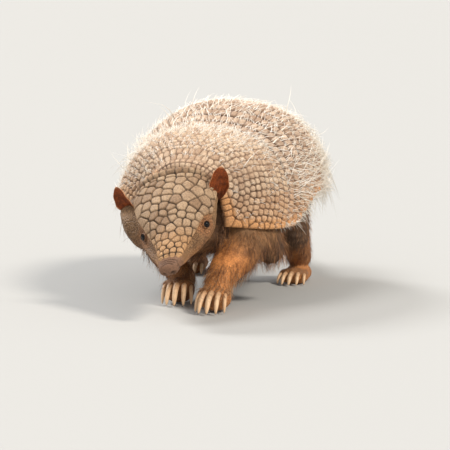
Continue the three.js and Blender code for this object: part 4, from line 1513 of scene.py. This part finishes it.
def claw_ring(leg, claw):
    """The skin of one claw, bent along its arch, with a keel on top and a flatter underside."""
    root, arch, tip, ahead = claw_line(leg, claw)
    side = unit(np.cross(ahead, (0, 0, 1.0)))
    width = claw[2] * CLAW_SLIM

    def ring(t, angle):
        s = t[..., None]
        line = (1 - s) ** 2 * root + 2 * s * (1 - s) * arch + s**2 * tip
        forward = unit(2 * (1 - s) * (arch - root) + 2 * s * (tip - arch))
        above = unit(np.cross(side, forward))
        round_end = np.sqrt(np.clip(1 - ((t - 0.72) / 0.28).clip(0, 1) ** 2, 0, 1))
        half = width / 2 * (1 - 0.34 * t * t) * round_end * np.sqrt(np.clip(t / 0.06, 0, 1))
        half = np.maximum(half, THINNEST)
        lift = np.where(np.sin(angle) > 0, 1.0, 0.62)
        keel = 1 + 0.1 * bell(angle - math.pi / 2, 0.35)
        return moved(line, (side, np.cos(angle) * half), (above, np.sin(angle) * half * lift * keel))

    return ring


def make_claws(context, leg):
    """The five claws of one foot: ridged on top, flattened underneath, worn at the tip."""
    grids = [tube_grid(claw_ring(leg, claw), 26, 18) for claw in claws_of(leg)]
    points, quads, triangles = joined(grids)
    points[:, 2] = np.maximum(points[:, 2], 0.0)
    t, angle = np.concatenate([grid[3] for grid in grids]).T
    values = {"tip": ease(t, 0.1, 0.75), "dirt": fade(t, 0.3, 0.9)}
    number = np.repeat(np.arange(len(grids)), len(t) // len(grids))
    across = (number + 0.08 + 0.84 * angle / (2 * math.pi)) / len(grids)
    uv = np.stack((across, 0.02 + 0.96 * t), -1)
    paw = leg.replace("leg", "paw")
    mesh = mesh_of(f"{paw}_claws", points, quads, triangles, values, uv)
    nodes = (f"{paw}_claw_{i + 1}" for i in range(len(grids)))
    settle(new_object(mesh.name, mesh, claw_horn(context)), "claw", *nodes)


# ---------- hairs
class ArmadilloCoat(bpy.types.PropertyGroup):
    density: amount("Density", "Share of the hairs that are made", 1.0, min=0, max=1)
    shell_length: length("Shell hairs", "Length of the longest common hairs on the bands", 0.021, min=0)
    shield_length: length("Shield hairs", "Length of the hairs on the front shield", 0.0075, min=0)
    leg_length: length("Leg hairs", "Length of the hairs on the legs", 0.0052, min=0)
    thickness: length("Thickness", "Thickness of a hair at its root", 0.00072, min=0)


HAIR_SIDES, HAIR_STEPS, HAIR_TAPER = 3, 4, 0.86
HAIR_SIZES = ("Length", "Thickness")
PATCH = 0.003  # the side of a hair's patch on the OFBake map
COAT_ROOM = 0.012
MOST_HAIRS = 6000
SHELL_RADIUS, BAND_RADIUS = 90, 95  # turn millimetres round the shell into angles
BODY_MIDDLE = np.array((0, -10.0, 60.0))
FRINGE_HAIRS, STRAY_HAIRS = 260, 46
SHORT_THIN, FRINGE_THIN, FUR_THIN = 0.5, 0.85, 0.42  # as shares of a bristle's thickness
BRISTLE_SEED, FUR_SEED = 41, 97
UNWRAP_SHARE = 0.04  # of the skin's faces, enough for the unwrapped copy


def hair_nodes(look):
    """Geometry Nodes: a thin tapered and curved hair for each point of the mesh."""
    tree = bpy.data.node_groups.new("hairs_" + look.name, "GeometryNodeTree")
    face = tree.interface
    face.new_socket("Geometry", in_out="INPUT", socket_type="NodeSocketGeometry")
    sizes = [face.new_socket(name, in_out="INPUT", socket_type="NodeSocketFloat") for name in HAIR_SIZES]
    face.new_socket("Geometry", in_out="OUTPUT", socket_type="NodeSocketGeometry")
    given = tree.nodes.new("NodeGroupInput").outputs

    def node(kind, inputs=None, output=0, **settings):
        return add_node(tree, kind, inputs, **settings).outputs[output]

    def named(name, kind="FLOAT"):
        return node("GeometryNodeInputNamedAttribute", {"Name": name}, "Attribute", data_type=kind)

    def times(*factors):
        product = factors[0]
        for factor in factors[1:]:
            product = node("ShaderNodeMath", {0: product, 1: factor}, operation="MULTIPLY")
        return product

    def scaled(vector, scale):
        return node("ShaderNodeVectorMath", {0: vector, "Scale": scale}, operation="SCALE")

    def combined(operation, a, b):
        return node("ShaderNodeVectorMath", {0: a, 1: b}, operation=operation)

    def stored(geometry, name, value, kind, domain):
        inputs = {"Geometry": geometry, "Name": name, "Value": value}
        return node("GeometryNodeStoreNamedAttribute", inputs, data_type=kind, domain=domain)

    size = {"Vertices": HAIR_SIDES, "Side Segments": HAIR_STEPS, "Radius": 1.0, "Depth": 1.0}
    stick = node("GeometryNodeMeshCylinder", size, "Mesh", fill_type="TRIANGLE_FAN")
    sticks = node("GeometryNodeInstanceOnPoints", {"Points": given["Geometry"], "Instance": stick})
    hairs = node("GeometryNodeRealizeInstances", {"Geometry": sticks})
    root, across = named("root", "FLOAT_VECTOR"), named("across", "FLOAT_VECTOR")
    local = combined("SUBTRACT", node("GeometryNodeInputPosition"), root)
    split = add_node(tree, "ShaderNodeSeparateXYZ", {0: local}).outputs
    t = node("ShaderNodeMath", {0: split["Z"], 1: 0.5}, operation="ADD")
    hairs = stored(hairs, "along", t, "FLOAT", "POINT")
    patch = node("ShaderNodeCombineXYZ", {"X": times(split["X"], PATCH * 0.4), "Y": times(t, PATCH)})
    uv = combined("ADD", named("place", "FLOAT_VECTOR"), patch)
    hairs = stored(hairs, "OFBake", uv, "FLOAT2", "CORNER")
    aim, sweep, along = named("aim", "FLOAT_VECTOR"), named("sweep", "FLOAT_VECTOR"), named("along")
    whole = times(named("length"), given["Length"])
    squared = times(along, along)
    grown = scaled(aim, times(whole, along))
    curled = scaled(sweep, times(whole, squared))
    thin = times(given["Thickness"], named("thickness"))
    taper = node("ShaderNodeMath", {0: 1.0, 1: times(squared, HAIR_TAPER)}, operation="SUBTRACT")
    radius = times(thin, taper, 0.5)
    wide = scaled(across, times(radius, split["X"]))
    deep = scaled(combined("CROSS_PRODUCT", aim, across), times(radius, split["Y"]))
    bend = combined("ADD", curled, combined("ADD", wide, deep))
    spot = combined("ADD", combined("ADD", root, grown), bend)
    hairs = node("GeometryNodeSetPosition", {"Geometry": hairs, "Position": spot})
    hairs = node("GeometryNodeSetShadeSmooth", {"Geometry": hairs})
    hairs = node("GeometryNodeSetMaterial", {"Geometry": hairs, "Material": look})
    add_node(tree, "NodeGroupOutput", {"Geometry": hairs})
    return tree, [socket.identifier for socket in sizes]


def shortened(root, reach):
    """Shares that keep hairs from standing out of the solids' box by more than COAT_ROOM."""
    low, high = np.array(cad_low) - COAT_ROOM, np.array(cad_high) + COAT_ROOM
    low[2] = 0.0004
    room = np.where(reach > 0, high - root, root - low)
    return np.clip((room / np.maximum(np.abs(reach), 1e-6)).min(axis=1), 0, 1)


def hair_piece(name, hairs, look, length_scale, thickness):
    """Turns rows of hairs into one mesh. hairs: roots, aims, sweeps, lengths, tints and places."""
    mesh = bpy.data.meshes.new(name)
    mesh.vertices.add(len(hairs["root"]))
    roots = to_frame(hairs["root"]).astype(np.float32)
    mesh.vertices.foreach_set("co", roots.ravel())
    aim = unit(hairs["aim"])
    across = unit(np.cross(aim, np.where(np.abs(aim[:, 2:]) < 0.8, (0, 0, 1.0), (1.0, 0, 0))))
    vectors = {"root": roots, "aim": aim, "sweep": hairs["sweep"], "across": across}
    vectors["place"] = np.pad(hairs["place"], ((0, 0), (0, 1)))
    add_values(mesh, vectors, "FLOAT_VECTOR", "vector")
    reach = (aim + hairs["sweep"]) * (hairs["length"] * length_scale)[:, None]
    lengths = hairs["length"] * shortened(roots, reach)
    add_values(mesh, {"length": lengths, "thickness": hairs["thickness"], "tint": hairs["tint"]})
    obj = new_object(name, mesh)
    tree, sockets = hair_nodes(look)
    grow = obj.modifiers.new("grow", "NODES")
    grow.node_group = tree
    for socket, number in zip(sockets, (length_scale, thickness)):
        grow[socket] = number
    swap_mesh(obj, evaluated(obj))
    obj.data.name = name
    bpy.data.node_groups.remove(tree)
    settle(obj, "hair")


def gather(rows):
    return {key: np.concatenate([row[key] for row in rows]) for key in rows[0]}


def in_pieces(name, hairs, look, length_scale, thickness):
    """Splits hairs into pieces that stay under the limit of triangles."""
    count = len(hairs["root"])
    parts = max(1, math.ceil(count / MOST_HAIRS))
    for i in range(parts):
        some = slice(i * count // parts, (i + 1) * count // parts)
        piece = {key: numbers[some] for key, numbers in hairs.items()}
        hair_piece(f"{name}_{i + 1}", piece, look, length_scale, thickness)


def shell_normal(share, angle):
    """The way out of the shell at a place on it, the way back along it and the way across it."""
    step = 0.004
    behind, ahead = np.minimum(share + step, 0.9999), np.maximum(share - step, 0)
    down = shell_point(behind, angle) - shell_point(ahead, angle)
    across = shell_point(share, angle + step) - shell_point(share, angle - step)
    normal = unit(np.cross(across, down))
    outwards = shell_point(share, angle) - BODY_MIDDLE
    flip = np.sign((normal * outwards).sum(-1, keepdims=True))
    return normal * flip, unit(down), unit(across)


def shell_hairs(rng, share, angle, length_of, count=1, lean=1.0, spread=0.5, stand=0.6, clump=1.1):
    """Hairs rooted round places (share, angle) on the shell, leaning back and down."""
    inside = np.abs(angle) <= edge_angle(share)
    share, angle = (np.repeat(numbers[inside], count) for numbers in (share, angle))
    total = len(share)
    share = np.clip(share + rng.normal(0, clump / BACK_LENGTH, total), 0.002, 0.9985)
    limit = edge_angle(share) * 0.985
    angle = np.clip(angle + rng.normal(0, clump / SHELL_RADIUS, total), -limit, limit)
    normal, back, across = shell_normal(share, angle)
    lengths = length_of(share, angle) * rng.uniform(0.55, 1.15, total)
    side = rng.normal(0, spread, total)
    rise = stand * rng.uniform(0.55, 1.3, total) * (1 + 0.4 * ease(-angle, -0.2, 0.6))
    sweep = moved(0, (back, rng.uniform(0.1, 0.5, total)), (across, rng.normal(0, 0.5, total)))
    return {
        "root": shell_point(share, angle, 0.5),
        "aim": unit(moved(back * lean, (normal, rise), (across, side))),
        "sweep": moved(sweep, (np.array((0, 0, -1.0)), rng.uniform(0.05, 0.4, total))),
        "length": lengths / 20,
        "thickness": rng.uniform(0.55, 1.15, total),
        "tint": rng.uniform(0, 1, total) ** 1.3,
        "place": np.stack((0.02 + 0.95 * (angle / EDGE_ANGLE + 1) / 2, 0.02 + 0.95 * share), -1),
    }


def band_hair(share, angle):
    """The length of a band's hairs: longest low on the sides and on the rump."""
    side = np.abs(angle)
    low = ease(side, 0.75, 1.25) * (1 - 0.9 * ease(side, 1.3, 1.6))
    rump = ease(share, 0.45, 0.85) * (1 - 0.5 * ease(side, 1.35, 1.6))
    return 10.5 + 8 * np.maximum(rump, 0.9 * low)


def front_hair(share, angle):
    return 20 * (0.6 + 0.7 * ease(share, 0.1, 0.27))


def fringe_hair(share, angle):
    return 6 + 6 * ease(share, 0.2, 0.5)


def stray_hair(share, angle):
    return 34 + 0 * share


def bands_wanted(places):
    return 0.82 + 0.18 * ease(places[:, 0], 0.4, 0.7)


def front_wanted(places):
    """More hairs at the rear of the front shield, and along its top."""
    top = fade(np.abs(places[:, 1] + 0.35), 0.75, 1.35)
    return (0.3 + 0.7 * ease(places[:, 0], 0.12, SCAPULAR_END)) * (0.3 + 0.7 * top)


def hairs_of_row(rng, row, setback, last, radius, offsets, wanted, density, **manner):
    """Hairs near the rear edges of a row of scutes, at some offsets across each scute."""
    places = np.array(row["places"])
    share = np.minimum(places[:, 0] + (row["length"] / 2 - setback) / BACK_LENGTH, last)
    rows = []
    for offset in offsets:
        angle = places[:, 1] + offset * row["width"] / radius
        keep = rng.uniform(0, 1, len(angle)) < wanted(places) * density
        rows.append(shell_hairs(rng, share[keep], angle[keep], **manner))
    return rows


def make_shell_hairs(context):
    """Bristles behind the scutes of the bands and shields, a fringe below and a few long strays."""
    sizes = context.scene.armadillo_coat
    rng = np.random.default_rng(BRISTLE_SEED)
    look = bristle_pale(context)
    rows = []
    for name in list(SPANS)[1:]:
        last = SPANS[name][1] - 0.4 / BACK_LENGTH
        for row in scute_rows(name):
            if name.startswith("band") and row["length"] < 6:
                continue
            rows += hairs_of_row(
                rng, row, 0.6, last, BAND_RADIUS, (-0.38, -0.2, 0.0, 0.2, 0.38), bands_wanted,
                sizes.density,
                length_of=band_hair, lean=0.95, spread=0.45, stand=0.62,
            )
    in_pieces("bristles", gather(rows), look, sizes.shell_length, sizes.thickness)
    rows = []
    for row in scute_rows("scapular_shield"):
        rows += hairs_of_row(
            rng, row, 0.4, 1, SHELL_RADIUS, (-0.32, -0.1, 0.12, 0.34), front_wanted, sizes.density,
            length_of=front_hair, count=4, lean=1.0, spread=0.7, stand=0.7, clump=1.6,
        )
    in_pieces("short_bristles", gather(rows), look, sizes.shield_length, sizes.thickness * SHORT_THIN)
    share = rng.uniform(0.2, 0.995, FRINGE_HAIRS)
    angle = np.where(rng.uniform(0, 1, FRINGE_HAIRS) < 0.5, -1, 1) * edge_angle(share) * 0.975
    fringe = shell_hairs(rng, share, angle, fringe_hair, lean=0.55, spread=0.25, stand=0.3, clump=0.6)
    fringe["aim"] = unit(fringe["aim"] + np.array((0, 0, -0.75)))
    share, angle = rng.uniform(0.02, 0.95, STRAY_HAIRS), rng.uniform(-1.5, 1.5, STRAY_HAIRS)
    strays = shell_hairs(rng, share, angle, stray_hair, lean=0.8, spread=0.5, stand=1.1)
    hairs = gather([fringe, strays])
    in_pieces("fringe", hairs, look, sizes.shell_length, sizes.thickness * FRINGE_THIN)


def skin_unwrap(skin):
    """A coarse unwrapped copy of the skin, as a tree of its faces and their places on the unwrap."""
    copy = new_object("unwrap", skin.data.copy())
    copy.modifiers.new("thin", "DECIMATE").ratio = UNWRAP_SHARE
    swap_mesh(copy, evaluated(copy))
    bpy.context.view_layer.objects.active = copy
    for other in bpy.context.selected_objects:
        other.select_set(False)
    copy.select_set(True)
    bpy.ops.object.mode_set(mode="EDIT")
    bpy.ops.mesh.select_all(action="SELECT")
    bpy.ops.uv.smart_project(angle_limit=1.15, island_margin=0.004)
    bpy.ops.object.mode_set(mode="OBJECT")
    mesh = copy.data
    layer, faces = mesh.uv_layers.active.uv, mesh.polygons
    middles = [np.mean([mesh.vertices[v].co for v in face.vertices], axis=0) for face in faces]
    places = [np.mean([layer[i].vector for i in face.loop_indices], axis=0) for face in faces]
    bpy.data.objects.remove(copy)
    return tree_of(np.array(middles)), np.array(places)


def hairs_wanted(middle, in_head, leg, belly, foot, turn):
    """How many hairs grow on a square millimetre at the middle of each face."""
    x, y, z = middle.T
    want = np.zeros(len(middle))
    for where, number in (
        (leg, 0.1),
        (leg & (y < -60) & (x > 0), 0.24),
        (leg & (y > 0) & (z > 30), 0.14),
        (belly & ~leg, 0.03),
        (belly & ~leg & (y > 0) & (np.abs(x) > 30), 0.09),
        (foot, 0.025),
        (in_head & (turn > 1.9), 0.018),
        (z < 2.5, 0),
    ):
        want[where] = number
    return want


def make_skin_hairs(context):
    """Short hairs on legs, cheeks and belly, denser and longer on the upper legs."""
    sizes = context.scene.armadillo_coat
    rng = np.random.default_rng(FUR_SEED)
    skin = bpy.data.objects["skin"]
    mesh = skin.data
    points, normals = vertices_of(mesh)
    tree, places = skin_unwrap(skin)
    mesh.calc_loop_triangles()
    corners = numbers_of(mesh.loop_triangles, "vertices", kind=np.int32)
    a, b, c = (points[corners[:, i]] for i in range(3))
    area = np.linalg.norm(np.cross(b - a, c - a), axis=1) / 2
    middle = (a + b + c) / 3
    _, y, z = middle.T
    local = to_head(middle)
    in_head = (local[:, 1] < 96) & (y < -128) & (z > 44)
    leg = (z < 74) & ~in_head
    top = arch_height(middle) + 4 + 9 * ease(y, -20, 45)
    belly = (z >= 30) & (z < top) & ~in_head
    foot = z < 17
    turn = np.abs(np.arctan2(local[:, 0], local[:, 2]))
    want = hairs_wanted(middle, in_head, leg, belly, foot, turn) * (area * sizes.density)
    face = np.repeat(np.arange(len(middle)), rng.poisson(want))
    count = len(face)
    u, v = rng.uniform(0, 1, (2, count))
    flip = u + v > 1
    u, v = np.where(flip, 1 - u, u), np.where(flip, 1 - v, v)
    root = moved(a[face], ((b - a)[face], u), ((c - a)[face], v))
    normal = unit(normals[corners[face]].mean(axis=1))
    down = np.where(in_head[face][:, None], from_head((0, 1.0, -0.3)) - NOSE_TIP, (0, -0.25, -1.0))
    flow = unit(down - normal * (down * normal).sum(-1, keepdims=True))
    side = np.cross(normal, flow)
    rise = rng.uniform(0.25, 0.75, count)
    aim = unit(moved(flow * 0.9, (normal, rise), (side, rng.normal(0, 0.3, count))))
    sweep = moved(flow * 0.25, (side, rng.normal(0, 0.25, count))) + np.array((0, 0, -0.2))
    lengths = np.where(foot, 0.45, np.where(in_head, 0.4, 1.0))[face] * rng.uniform(0.5, 1.4, count)
    lengths = np.where(belly & ~leg, 1.9, 1)[face] * lengths
    lengths = np.where(leg & (y < -60) & (z > 30), 1.6, 1)[face] * lengths
    found = [tree.find(point)[1] for point in to_frame(root)]
    hairs = {
        "root": root - normal * 0.15,
        "aim": aim,
        "sweep": sweep,
        "length": lengths,
        "thickness": rng.uniform(0.5, 1.1, count),
        # Painted shade: hairs on the hind half and higher than 38 mm get half the tint, so they are
        # darker.
        "tint": rng.uniform(0, 1, count) ** 1.6 * np.where((z > 38) | (y > 0), 0.5, 1.0)[face],
        "place": places[found] + rng.uniform(-0.001, 0.001, (count, 2)),
    }
    in_pieces("leg_hairs", hairs, fur_ruddy(context), sizes.leg_length, sizes.thickness * FUR_THIN)


# ---------- camera, light and floor
CAMERA_TURN, CAMERA_RISE = math.radians(15), math.radians(8)
CAMERA_AIM = Vector((-0.0001017, -0.0310259, 0.095))
CAMERA_AWAY, CAMERA_LENS = 4.5, 370.8
CAMERA_DOWN, CAMERA_RIGHT = 0.03398, 0.00097
LIGHT_AWAY = 2.0
LIGHTS = {  # turn, rise and breadth in degrees
    "overhead": (288, 62, 27),
    "key": (72, 46, 14),
    "rim": (238, 38, 15),
    "fill": (5, 22, 38),
}
SENSOR_WIDTH, FAR_END = 36, 200
FLOOR_HALF = 60.0


def look_at(obj, place, target):
    obj.location = place
    obj.rotation_euler = (Vector(target) - Vector(place)).to_track_quat("-Z", "Y").to_euler()


def direction(turn, rise):
    """The way to a place at a turn from the front towards the animal's left, and a rise."""
    return Vector((math.sin(turn) * math.cos(rise), -math.cos(turn) * math.cos(rise), math.sin(rise)))


def add_light(name, turn, rise, breadth, strength, tint):
    """A soft far light. Its turn and rise are measured like the camera's, all in degrees."""
    light = bpy.data.lights.new(name, "SUN")
    light.angle = math.radians(breadth)
    light.energy = strength
    light.color = tint[:3]
    obj = bpy.data.objects.new(name, light)
    bpy.context.scene.collection.objects.link(obj)
    look_at(obj, direction(math.radians(turn), math.radians(rise)) * LIGHT_AWAY, (0, 0, 0))


def make_stage(context):
    """Camera, soft lights and a plain pale floor."""
    stage, scene = context.scene.armadillo_stage, context.scene
    back = direction(CAMERA_TURN, CAMERA_RISE)
    right = Vector((math.cos(CAMERA_TURN), math.sin(CAMERA_TURN), 0))
    camera = bpy.data.objects.new("camera", bpy.data.cameras.new("camera"))
    camera.data.lens, camera.data.sensor_width = CAMERA_LENS, SENSOR_WIDTH
    camera.data.clip_end = FAR_END
    scene.collection.objects.link(camera)
    target = CAMERA_AIM - back.cross(right) * CAMERA_DOWN + right * CAMERA_RIGHT
    look_at(camera, target + back * CAMERA_AWAY, target)
    scene.camera = camera
    scene.view_settings.view_transform = "Standard"
    floor = bpy.data.meshes.new("floor")
    corners = [(x * FLOOR_HALF, y * FLOOR_HALF, 0) for x, y in ((-1, -1), (1, -1), (1, 1), (-1, 1))]
    floor.from_pydata(corners, [], [(0, 1, 2, 3)])
    look = Look("floor", roughness=0.8, specular=0.1)
    new_object("floor", floor, look.finish(stage.floor))
    world = bpy.data.worlds.new("studio")
    world.use_nodes = True
    sky = world.node_tree.nodes["Background"]
    sky.inputs["Color"].default_value = (*stage.backdrop, 1)
    sky.inputs["Strength"].default_value = stage.ambient
    scene.world = world
    for name, place in LIGHTS.items():
        add_light(name, *place, getattr(stage, name), stage.warm if name == "key" else stage.daylight)


# ---------- add-on
class ArmadilloShell(bpy.types.PropertyGroup):
    fineness: length("Fineness", "Between the points of the shell's outer side", 0.00072, min=0.0004)
    head_fineness: length("Head fineness", "Between the points of the head plate", 0.00046, min=0.0003)
    groove: length("Groove", "Depth of the seams between scutes", 0.0010, min=0)
    crown: length("Crown", "How far a scute's middle stands out", 0.00055, min=0)
    rim: length("Rim", "Height of the raised rear rim of the head plate", 0.0038, min=0)


class ArmadilloSkin(bpy.types.PropertyGroup):
    fineness: length("Fineness", "Size of the steps in the skin's mesh", 0.00152, min=0.0008)


class ArmadilloColours(bpy.types.PropertyGroup):
    shell: tint("Shell", "Dry horn of the shields", (207, 181, 153))
    shell_dark: tint("Shell, dark", "Darker scutes of the shields", (164, 132, 106))
    shell_edge: tint("Shell edge", "Warm margin of the shell", (218, 156, 98))
    seam: tint("Seam", "Seams between scutes", (70, 46, 30))
    band: tint("Band", "Scutes of the moving bands", (207, 182, 158))
    band_dark: tint("Band, dark", "Darker scutes of the bands", (152, 122, 98))
    head: tint("Head", "Scutes of the head", (174, 146, 116))
    head_dark: tint("Head, dark", "Darker scutes of the head", (128, 98, 72))
    head_warm: tint("Head, warm", "Ochre scutes near the nose", (196, 148, 100))
    seam_dark: tint("Seam, dark", "Seams of the head and the flanks", (34, 22, 14))
    skin: tint("Skin", "Bare skin", (142, 104, 68))
    skin_dark: tint("Skin, dark", "Darker patches of skin", (100, 70, 44))
    skin_grey: tint("Skin, grey", "Grey-brown skin of the upper legs", (94, 72, 54))
    skin_pale: tint("Skin, pale", "Pale granules", (184, 150, 108))
    nose: tint("Nose", "Pinkish skin of the nose and round the eyes", (128, 94, 72))
    ruddy: tint("Ruddy", "Orange-brown of the lower legs", (222, 146, 82))
    ruddy_dark: tint("Ruddy, dark", "Darker orange-brown", (142, 84, 42))
    # This colour is also the painted shade of the skin and of the ear's hollow.
    crease: tint("Crease", "Bottom of folds and pores", (46, 30, 20))
    ear: tint("Ear", "Skin of the ears", (142, 68, 26))
    ear_dark: tint("Ear, dark", "Darker skin of the ears", (106, 48, 16))
    ear_rim: tint("Ear rim", "Paler rim of the ears", (206, 150, 106))
    pupil: tint("Pupil", "Black of the eye", (8, 6, 5))
    iris: tint("Iris", "Dark brown of the eye", (30, 18, 12))
    claw: tint("Claw", "Pale horn of the claws", (224, 188, 148))
    claw_root: tint("Claw root", "Darker horn at the root of the claws", (182, 140, 102))
    bristle_root: tint("Bristle root", "Root of the shell's hairs", (206, 186, 160))
    bristle: tint("Bristle", "Hairs of the shell", (240, 230, 214))
    bristle_pale: tint("Bristle, pale", "Palest hairs of the shell", (255, 252, 245))
    fur_root: tint("Fur root", "Root of the hairs of legs and belly", (88, 54, 30))
    fur: tint("Fur", "Hairs of legs and belly", (182, 124, 74))
    fur_pale: tint("Fur, pale", "Palest hairs of legs and belly", (218, 178, 132))


def watts(place):
    return f"Strength of the light {place}, in watts per square metre"


class ArmadilloStage(bpy.types.PropertyGroup):
    floor: tint("Floor", "Plain floor", (168, 167, 164))
    backdrop: tint("Backdrop", "Plain backdrop", (246, 247, 249))
    daylight: tint("Daylight", "White light from above, behind and in front", (255, 255, 255))
    warm: tint("Warm light", "Warmer light from the side", (255, 248, 238))
    ambient: amount("Ambient", "Strength of the light from all round", 0.6, min=0)
    overhead: amount("Overhead", watts("above"), 1.65, min=0)
    key: amount("Key", watts("at the side"), 2.85, min=0)
    rim: amount("Rim", watts("behind"), 2.3, min=0)
    fill: amount("Fill", watts("in front"), 0.35, min=0)


GROUPS = {
    "armadillo_shell": ArmadilloShell,
    "armadillo_skin": ArmadilloSkin,
    "armadillo_coat": ArmadilloCoat,
    "armadillo_colours": ArmadilloColours,
    "armadillo_stage": ArmadilloStage,
}


class Step:
    """What the operators share."""

    bl_options = {"REGISTER", "UNDO"}


class ARMADILLO_OT_shell(Step, bpy.types.Operator):
    """Make the two shields and the seven bands"""

    bl_idname = "armadillo.shell"
    bl_label = "Shell"

    def execute(self, context):
        for name in SPANS:
            make_shell_plate(name, context)
        return {"FINISHED"}


class ARMADILLO_OT_nape(Step, bpy.types.Operator):
    """Make the narrow plate behind the head"""

    bl_idname = "armadillo.nape"
    bl_label = "Nape plate"

    def execute(self, context):
        make_nape_plate(context)
        return {"FINISHED"}


class ARMADILLO_OT_head_shield(Step, bpy.types.Operator):
    """Make the plate on top of the head"""

    bl_idname = "armadillo.head_shield"
    bl_label = "Head plate"

    def execute(self, context):
        make_head_shield(context)
        return {"FINISHED"}


class ARMADILLO_OT_tail(Step, bpy.types.Operator):
    """Make the tail with its rings of scutes"""

    bl_idname = "armadillo.tail"
    bl_label = "Tail"

    def execute(self, context):
        make_tail(context)
        return {"FINISHED"}


class ARMADILLO_OT_skin(Step, bpy.types.Operator):
    """Make the one skin over trunk, neck, head, legs and feet"""

    bl_idname = "armadillo.skin"
    bl_label = "Skin"

    def execute(self, context):
        make_skin(context)
        return {"FINISHED"}


class ARMADILLO_OT_ears(Step, bpy.types.Operator):
    """Make the two ears"""

    bl_idname = "armadillo.ears"
    bl_label = "Ears"

    def execute(self, context):
        for side_name, side in SIDES.items():
            make_ear(context, side_name, side)
        return {"FINISHED"}


class ARMADILLO_OT_eyes(Step, bpy.types.Operator):
    """Make the two eyes"""

    bl_idname = "armadillo.eyes"
    bl_label = "Eyes"

    def execute(self, context):
        for side_name, side in SIDES.items():
            make_eye(context, side_name, side)
        return {"FINISHED"}


class ARMADILLO_OT_claws(Step, bpy.types.Operator):
    """Make the claws of the four feet"""

    bl_idname = "armadillo.claws"
    bl_label = "Claws"

    def execute(self, context):
        for leg in LEGS:
            make_claws(context, leg)
        return {"FINISHED"}


class ARMADILLO_OT_coat(Step, bpy.types.Operator):
    """Make the bristles of the shell and the hairs of legs and belly"""

    bl_idname = "armadillo.coat"
    bl_label = "Hairs"

    def execute(self, context):
        make_shell_hairs(context)
        make_skin_hairs(context)
        return {"FINISHED"}


class ARMADILLO_OT_stage(Step, bpy.types.Operator):
    """Make the camera, the lights and the floor"""

    bl_idname = "armadillo.stage"
    bl_label = "Stage"

    def execute(self, context):
        make_stage(context)
        return {"FINISHED"}


OPERATORS = (
    ARMADILLO_OT_shell,
    ARMADILLO_OT_nape,
    ARMADILLO_OT_head_shield,
    ARMADILLO_OT_tail,
    ARMADILLO_OT_skin,
    ARMADILLO_OT_ears,
    ARMADILLO_OT_eyes,
    ARMADILLO_OT_claws,
    ARMADILLO_OT_coat,
    ARMADILLO_OT_stage,
)


class ARMADILLO_PT_panel(bpy.types.Panel):
    bl_label = "Armadillo"
    bl_idname = "ARMADILLO_PT_panel"
    bl_space_type = "VIEW_3D"
    bl_region_type = "UI"
    bl_category = "Armadillo"

    def draw(self, context):
        for step in OPERATORS:
            self.layout.operator(step.bl_idname)
        for group, kind in GROUPS.items():
            box = self.layout.box()
            for name in kind.__annotations__:
                box.prop(getattr(context.scene, group), name)


def register():
    for name, group in GROUPS.items():
        bpy.utils.register_class(group)
        setattr(bpy.types.Scene, name, PointerProperty(type=group))
    for step in (*OPERATORS, ARMADILLO_PT_panel):
        bpy.utils.register_class(step)


def unregister():
    for step in reversed((*OPERATORS, ARMADILLO_PT_panel)):
        bpy.utils.unregister_class(step)
    for name, group in reversed(GROUPS.items()):
        delattr(bpy.types.Scene, name)
        bpy.utils.unregister_class(group)


def main():
    register()
    for step in OPERATORS:
        area, name = step.bl_idname.split(".")
        getattr(getattr(bpy.ops, area), name)()


if __name__ == "__main__":
    main()
